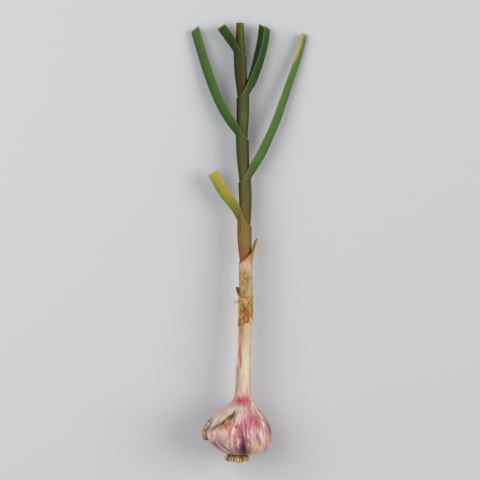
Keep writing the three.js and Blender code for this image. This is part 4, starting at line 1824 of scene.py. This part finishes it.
@dataclass
class InnerShoot(SubAssembly):
    """The innermost rolled leaf, cut square at the top of the stem."""

    columns: int = 72
    rows: int = 96
    radius: Table = Table([[332, 4.7], [342, 4.7], [352, 4.4], [371.5, 3.6]])
    finish: Finish = Finish(
        "rolled_shoot_leaf",
        fibre_scale=1500,
        fibre_dark=0.3,
        fibre_pale=0.15,
        speck_tone=0x3A3A10,
        speck_amount=0.3,
        roughness=(0.36, 0.5),
        bump=0.35,
        glow=0.03,
        specular=0.2,
    )
    # Tones round the shoot by its place from left to right: olive-yellow, the brown edge of the roll, a
    # lighter green that is partly a painted highlight, then darker green.
    tones: TonedTable = TonedTable(
        [
            [332, 0x403E02, 0x281C02, 0x42500A, 0x2A4006],
            [355, 0x4C4A02, 0x322402, 0x505E0E, 0x2C4206],
            [372, 0x646204, 0x444004, 0x607214, 0x38540A],
        ]
    )
    seam_at: float = 0.287  # where the roll's edge shows, as a share of the way round
    seam_tone: Tone = tone(0x3E3208)
    ring_dark: Tone = tone(0x8A8A3C)
    ring_pale: Tone = tone(0xC8CC84)
    wall_share: float = 0.8  # share of the rows on the wall, the rest on the cut face

    def rule(self, across: float, along: float) -> Spot:
        """The spot at shares round the shoot and up it, over the cut face to its middle.

        Args:
            across: Share of the way round.
            along: Share of the way up and in.

        Returns:
            The spot.
        """
        angle = math.pi * (1 - 2 * across)
        x, z = math.cos(angle), math.sin(angle)
        if along <= self.wall_share:
            y = mix(332, Stem.TOP_Y - 0.25, along / self.wall_share)
            seam = ramp(across, 0.28, 0.295) * (1 - ramp(across, 0.295, 0.75))
            reach = self.radius(y)[0] - 0.28 + 0.3 * seam + 0.05 * ripple(x * 12, z * 12, y * 0.03)
            fibre = Vector((x * reach, z * reach, y * 0.05))
            streak = ripple(fibre.x * 1.4, fibre.y * 1.4, fibre.z)
            crack = 0.7 * math.exp(-(((across - self.seam_at) / 0.008) ** 2))
            # The shoot's colour follows its place from left to right, so its lighter green band is
            # partly a painted highlight.
            colour = mix_tone(shade(self.tones(y, x), 1 + 0.16 * streak), self.seam_tone, crack)
        else:
            inner = (along - self.wall_share) / (1 - self.wall_share)
            reach = 3.3 * (1 - inner)
            ring = math.cos(2 * math.pi * (inner * 3.2 + across))
            y = Stem.TOP_Y - 0.45 + 0.35 * ring - 0.25 * inner
            y += 0.15 * ripple(x * reach, z * reach, 5)
            y = min(y, Stem.TOP_Y - 0.02)
            fibre = Vector((x * reach, z * reach, y * 0.05))
            colour = mix_tone(self.ring_dark, self.ring_pale, ramp(ring, -0.4, 0.7))
        if along > 0.9999:
            reach, y = 0.0, Stem.TOP_Y - 0.6
        elif along < 0.0001:
            reach = 0.0
        centre = Stem.at(y)
        point = Vector((centre.x + reach * x, y, centre.z + reach * z))
        return Spot(point, colour, fibre)

    def build(self) -> list[bpy.types.Object]:
        """Makes and dresses the shoot.

        Returns:
            The finished piece.
        """
        shoot = Bench.sheet("inner_shoot_roll", self.columns, self.rows, self.rule)
        Bench.smooth(shoot, 50)
        return [Bench.hand_over(shoot, self.finish.build(), Slot.SHOOT, "inner_shoot")]


@dataclass
class Foliage:
    """The pale sheath that rises from the bulb and the five leaves of the stem."""

    green: Finish = Finish(
        "green_leaf",
        fibre_scale=1500,
        fibre_dark=0.26,
        fibre_pale=0.14,
        speck_tone=0x6E6A30,
        speck_amount=0.3,
        roughness=(0.42, 0.58),
        bump=0.4,
        glow=0.03,
        specular=0.2,
    )

    def leaves(self) -> list[Leaf]:
        """The leaves from the lowest to the highest.

        Returns:
            The six leaves.
        """
        # Each leaf's tone tables run across its sheath and blade and hold painted shade and painted
        # highlights as well as the leaf's own colours.
        return [
            Leaf(
                name="pale_sheath",
                node="bulb",
                slot=Slot.BULB_SKIN,
                side=Side.RIGHT,
                bottom=98,
                mouth_low=153,
                mouth_rise=9,
                radius=[[98, 6], [108, 6.15], [150, 6.2], [156, 6.7], [162, 7.6], [168, 8.6]],
                keel=[[15.2, 166, 19.7], [16.6, 171, 19.5], [17.9, 175.6, 19.4]],
                blade=[[0, 8, 60, 0], [12, 6.4, 60, 0], [18, 4.6, 60, 0], [24, 1.2, 60, 0]],
                sheath_tones_and_shading=[
                    [98, 0xBE9C6C, 0xD2B98C, 0xC7A47C],
                    [122, 0xB4965E, 0xC2A670, 0xC4A67E],
                    [130, 0xB69C6C, 0xBCA070, 0xC9AA86],
                    [143, 0xBCA27C, 0xC4AC88, 0xCDB094],
                    [151, 0xC8AC96, 0xD0B69E, 0xCFAE8C],
                    [157, 0xC0A084, 0xC8A678, 0xC08E4E],
                    [163, 0x8A5A24, 0xB8843C, 0xAE7632],
                ],
                blade_tones_and_shading=[
                    [0, 0x6A4016, 0xC08A3E, 0x7A4A1C],
                    [14, 0x5A3410, 0xC4904A, 0x6A3E14],
                    [24, 0x4E2E10, 0xB88440, 0x5A3612],
                ],
                sheath_depth=1.1,
                blade_depth=1.15,
                finish=Finish(
                    "pale_inner_sheath",
                    fibre_scale=1300,
                    fibre_dark=0.3,
                    fibre_pale=0.14,
                    speck_tone=0x7A5A28,
                    speck_amount=0.8,
                    speck_scale=420,
                    roughness=(0.45, 0.65),
                    bump=0.4,
                    glow=0.06,
                    specular=0.25,
                ),
                rim_tone=0x5A3210,
                rim_from=0.8,
                end_tone=0x9C6430,
                shrivel=0.25,
                mottle_tone=0x8E6C30,
                mottle_band=(112, 155),
                wall=0.65,
            ),
            Leaf(
                name="leaf_1_lower_left_blade",
                node="leaf_1_lower_left",
                slot=Slot.YELLOWING_LEAF,
                side=Side.LEFT,
                bottom=145,
                mouth_low=186.3,
                mouth_rise=6,
                radius=[[145, 5.1], [155, 5.15], [168, 6.1], [178, 6.5], [200, 6.8]],
                keel=[
                    [-1.6, 193.6, 17.9],
                    [-5.4, 200.7, 17.3],
                    [-14, 211.5, 16.6],
                    [-21.2, 222.3, 16],
                    [-26.8, 232.8, 15.6],
                ],
                blade=[[0, 9.8, 64, 0], [24, 10.6, 67, 0], [40, 11.2, 70, 0], [54, 12, 73, 0]],
                sheath_tones_and_shading=[
                    [145, 0x8E5A34, 0x96643A, 0x8A5632],
                    [158, 0x96603A, 0x9A6A3C, 0x8C5A34],
                    [168, 0x8C6A34, 0x947440, 0x866030],
                    [182, 0x7A6A2C, 0x8E7638, 0x7E6430],
                    [194, 0x6E6C28, 0x86793A, 0x7A6A30],
                ],
                blade_tones_and_shading=[
                    [0, 0x7C7A2C, 0x7E7A34, 0x7E7E36],
                    [16, 0x86922E, 0x6E8030, 0xA09A38],
                    [34, 0x8C9C3C, 0x748A38, 0xC0AC3C],
                    [54, 0x98A044, 0x8A9A48, 0xC8B048],
                ],
                sheath_depth=1.1,
                blade_depth=1.15,
                finish=self.green_named("yellowing_leaf_skin"),
                slant=1,
                notch=-0.5,
                rim_tone=0xB59A58,
                end_tone=0xC8B860,
            ),
            Leaf(
                name="leaf_2_lower_right_blade",
                node="leaf_2_lower_right",
                slot=Slot.MID_LEAF,
                side=Side.RIGHT,
                bottom=178,
                mouth_low=225.9,
                mouth_rise=3.4,
                radius=[[178, 5.4], [190, 5.4], [212, 5.7], [226, 5.9], [240, 6.3]],
                keel=[
                    [12.9, 231.6, 16],
                    [17.6, 239, 15.3],
                    [24.2, 250, 14],
                    [30.6, 263.5, 12.6],
                    [38.4, 282, 10.7],
                    [47.3, 308.7, 8.1],
                    [54.8, 331.3, 5.9],
                    [60.8, 351.9, 4.2],
                    [62.6, 360.5, 3.8],
                ],
                blade=[[0, 9.2, 62, 0], [30, 9.6, 65, 0], [80, 8.6, 62, 0], [145, 6.4, 55, 0]],
                sheath_tones_and_shading=[
                    [178, 0x6E5A20, 0x7C6830, 0x6A5020],
                    [192, 0x625222, 0x7A6C38, 0x5C4A1C],
                    [205, 0x564C1E, 0x7C7440, 0x54481A],
                    [218, 0x4E4C1E, 0x766E3C, 0x4E4A1C],
                    [232, 0x4C5220, 0x6E7038, 0x4E5C22],
                ],
                blade_tones_and_shading=[
                    [0, 0x5C6E2A, 0x5C742E, 0x6A7C38],
                    [16, 0x4A6E2E, 0x4E7432, 0x5F8240],
                    [60, 0x4E7436, 0x4C7436, 0x64894A],
                    [110, 0x567A3C, 0x527838, 0x6B8C4A],
                    [140, 0x6E8444, 0x5E7C3C, 0x8C9450],
                    [146, 0xAA8E4A, 0x7E7E40, 0xC29A56],
                ],
                sheath_depth=1.2,
                blade_depth=1.25,
                finish=self.green_named("lower_right_leaf_skin"),
                notch=1,
                dry_from=112,
                rim_tone=0xB8B27E,
                end_tone=0xC29A58,
            ),
            Leaf(
                name="leaf_3_upper_left_blade",
                node="leaf_3_upper_left",
                slot=Slot.MID_LEAF,
                side=Side.LEFT,
                bottom=217.6,
                mouth_low=263.3,
                mouth_rise=5.5,
                radius=[[217, 4.85], [229, 4.85], [246, 5.6], [264, 5.9], [280, 6.3]],
                keel=[
                    [-3, 270.4, 14.1],
                    [-7.7, 276.3, 13.3],
                    [-14.9, 287.1, 12],
                    [-23, 303.3, 10.2],
                    [-31, 324.9, 7.7],
                    [-37.8, 346.5, 5.5],
                    [-42.6, 363.4, 4.3],
                ],
                blade=[[0, 9.4, 62, 0], [20, 10, 66, 0], [70, 10.2, 67, 0], [112, 10, 67, 0]],
                sheath_tones_and_shading=[
                    [217, 0x50521C, 0x746E38, 0x4C4A1C],
                    [235, 0x4A501E, 0x726F3A, 0x48481A],
                    [250, 0x445020, 0x6E6C38, 0x46481A],
                    [264, 0x405420, 0x66703A, 0x444E1C],
                    [272, 0x3E5A24, 0x5C6C36, 0x44541E],
                ],
                blade_tones_and_shading=[
                    [0, 0x4A6428, 0x4A6A2C, 0x5A7838],
                    [20, 0x44682E, 0x466C30, 0x5C7E40],
                    [70, 0x466C34, 0x486E34, 0x5E8246],
                    [112, 0x507438, 0x4E7234, 0x668646],
                ],
                sheath_depth=1.25,
                blade_depth=1.3,
                finish=self.green_named("upper_left_leaf_skin"),
                slant=-0.5,
                notch=2.5,
                rim_tone=0xA6A870,
                end_tone=0xA0A868,
            ),
            Leaf(
                name="leaf_4_upper_right_blade",
                node="leaf_4_upper_right",
                slot=Slot.DARK_LEAF,
                side=Side.RIGHT,
                bottom=255.2,
                mouth_low=302,
                mouth_rise=3.6,
                radius=[[255, 4.85], [266, 4.85], [285, 5.6], [302, 5.9], [315, 6.3]],
                keel=[
                    [11.3, 307.8, 12.3],
                    [15.8, 315.4, 11.7],
                    [21, 329.1, 10.6],
                    [25.3, 343.7, 9.5],
                    [27.9, 355.5, 8.7],
                    [29.2, 364.8, 8.2],
                ],
                blade=[[0, 9.4, 60, 0], [16, 10, 60, 10], [40, 11.4, 58, 25], [64, 11.9, 58, 26]],
                sheath_tones_and_shading=[
                    [255, 0x2E3A12, 0x6A6A3A, 0x3E4E1A],
                    [270, 0x283A10, 0x6C6A34, 0x3E561C],
                    [285, 0x263C10, 0x6C6E38, 0x40601E],
                    [300, 0x28441A, 0x686C34, 0x44661E],
                    [312, 0x2A4A1C, 0x5A6A30, 0x446A26],
                ],
                blade_tones_and_shading=[
                    [0, 0x2C4A18, 0x3C6424, 0x4E742E],
                    [16, 0x244416, 0x36601F, 0x4C742E],
                    [40, 0x1E3E12, 0x34601E, 0x4C7632],
                    [64, 0x264616, 0x3C6824, 0x567E38],
                ],
                sheath_depth=1.3,
                blade_depth=1.35,
                finish=self.green_named("upper_right_leaf_skin"),
                slant=-1.5,
                notch=3,
                rim_tone=0x9AA066,
                end_tone=0x8E9C58,
            ),
            Leaf(
                name="leaf_5_top_left_blade",
                node="leaf_5_top_left",
                slot=Slot.DARK_LEAF,
                side=Side.LEFT,
                bottom=293.6,
                mouth_low=339.6,
                mouth_rise=4.8,
                radius=[[293, 4.85], [305, 4.85], [322, 5.5], [340, 5.8], [352, 6.2]],
                keel=[[-4.6, 345.6, 10.2], [-9, 352.2, 9.9], [-14, 359, 9.6], [-18.6, 365.4, 9.3]],
                blade=[[0, 9.2, 62, 0], [14, 9.6, 66, 0], [34, 9.8, 67, 0]],
                sheath_tones_and_shading=[
                    [293, 0x2E4A12, 0x5E4A1C, 0x6E6E34],
                    [312, 0x304E14, 0x5E481A, 0x76723A],
                    [328, 0x325414, 0x5A4A1A, 0x707438],
                    [345, 0x365C18, 0x50501C, 0x66702E],
                ],
                blade_tones_and_shading=[
                    [0, 0x2E5A14, 0x366016, 0x3E6A1E],
                    [14, 0x264E10, 0x305A14, 0x3C661C],
                    [34, 0x2E5614, 0x3A621A, 0x4A7228],
                ],
                sheath_depth=1.3,
                blade_depth=1.4,
                finish=self.green_named("top_left_leaf_skin"),
                slant=0.5,
                rim_tone=0x8C9A58,
                end_tone=0x7A9044,
            ),
        ]

    def green_named(self, name: str) -> Finish:
        """The green finish under a leaf's own name."""
        return replace(self.green, name=name)


# The table, the light and the camera


@dataclass
class Studio:
    """The plain table, soft daylight from the right and the camera straight above."""

    floor_size: float = 4.0
    camera_place: tuple[float, float, float] = (0.0018, 0.1743, 1.5)
    lens: float = 123.33
    key_place: tuple[float, float, float] = (2.3, 0.3, 1.75)
    key_size: float = 1.7
    key_power: float = 49.5
    fill_place: tuple[float, float, float] = (-0.85, 0.45, 1.1)
    fill_size: float = 1.2
    fill_power: float = 12.0
    sky_strength: float = 0.42

    def floor(self) -> bpy.types.Object:
        """Lays the pale paper.

        Returns:
            The floor.
        """
        Bench.clear()
        bpy.ops.mesh.primitive_plane_add(size=self.floor_size)
        floor = bpy.context.object
        floor.name = floor.data.name = "pale_paper_floor"
        floor.data.materials.append(PaperFinish().build())
        return floor

    def lamp(
        self, name: str, place: Sequence[float], size: float, power: float, code: int
    ) -> bpy.types.Object:
        """Hangs a square soft lamp that looks at the plant.

        Args:
            name: The lamp's name.
            place: Where it hangs, in metres.
            size: Its side in metres.
            power: In watts.
            code: The web colour of its light.

        Returns:
            The lamp.
        """
        Bench.clear()
        aim = Vector((0, 0.17, 0)) - Vector(place)
        turn = aim.to_track_quat("-Z", "Y").to_euler()
        bpy.ops.object.light_add(type="AREA", location=place, rotation=turn)
        lamp = bpy.context.object
        lamp.name = lamp.data.name = name
        lamp.data.size = size
        lamp.data.energy = power
        lamp.data.color = tone(code)
        return lamp

    def camera(self) -> bpy.types.Object:
        """Hangs the camera over the plant.

        Returns:
            The camera.
        """
        Bench.clear()
        bpy.ops.object.camera_add(location=self.camera_place, rotation=(0, 0, 0))
        camera = bpy.context.object
        camera.name = camera.data.name = "camera"
        camera.data.lens = self.lens
        camera.data.sensor_width = 36
        camera.data.clip_start = 0.05
        bpy.context.scene.camera = camera
        return camera

    def build(self) -> None:
        """Sets up the table, the light and the camera."""
        self.floor()
        self.lamp("key_window", self.key_place, self.key_size, self.key_power, 0xFFFDFA)
        self.lamp("overhead_fill", self.fill_place, self.fill_size, self.fill_power, 0xFAFAFF)
        self.camera()
        scene = bpy.context.scene
        scene.view_settings.view_transform = "Standard"
        scene.world = bpy.data.worlds.new("pale_room")
        scene.world.use_nodes = True
        sky = scene.world.node_tree.nodes["Background"]
        sky.inputs["Color"].default_value = (*tone(0xF4F3F0), 1)
        sky.inputs["Strength"].default_value = self.sky_strength


def main() -> None:
    """Builds the plant and its studio."""
    logging.basicConfig(level=logging.INFO, format="%(message)s")
    bulb = Bulb(BulbForm())
    assemblies: list[SubAssembly] = [
        bulb,
        TornSkin(bulb),
        RootTuft(),
        WitheredCollar(),
        *Foliage().leaves(),
        InnerShoot(),
    ]
    for assembly in assemblies:
        for piece in assembly.build():
            log.info("%s: %d faces", piece.name, len(piece.data.polygons))
    Studio().build()
    Bench.clear()


if __name__ == "__main__":
    main()
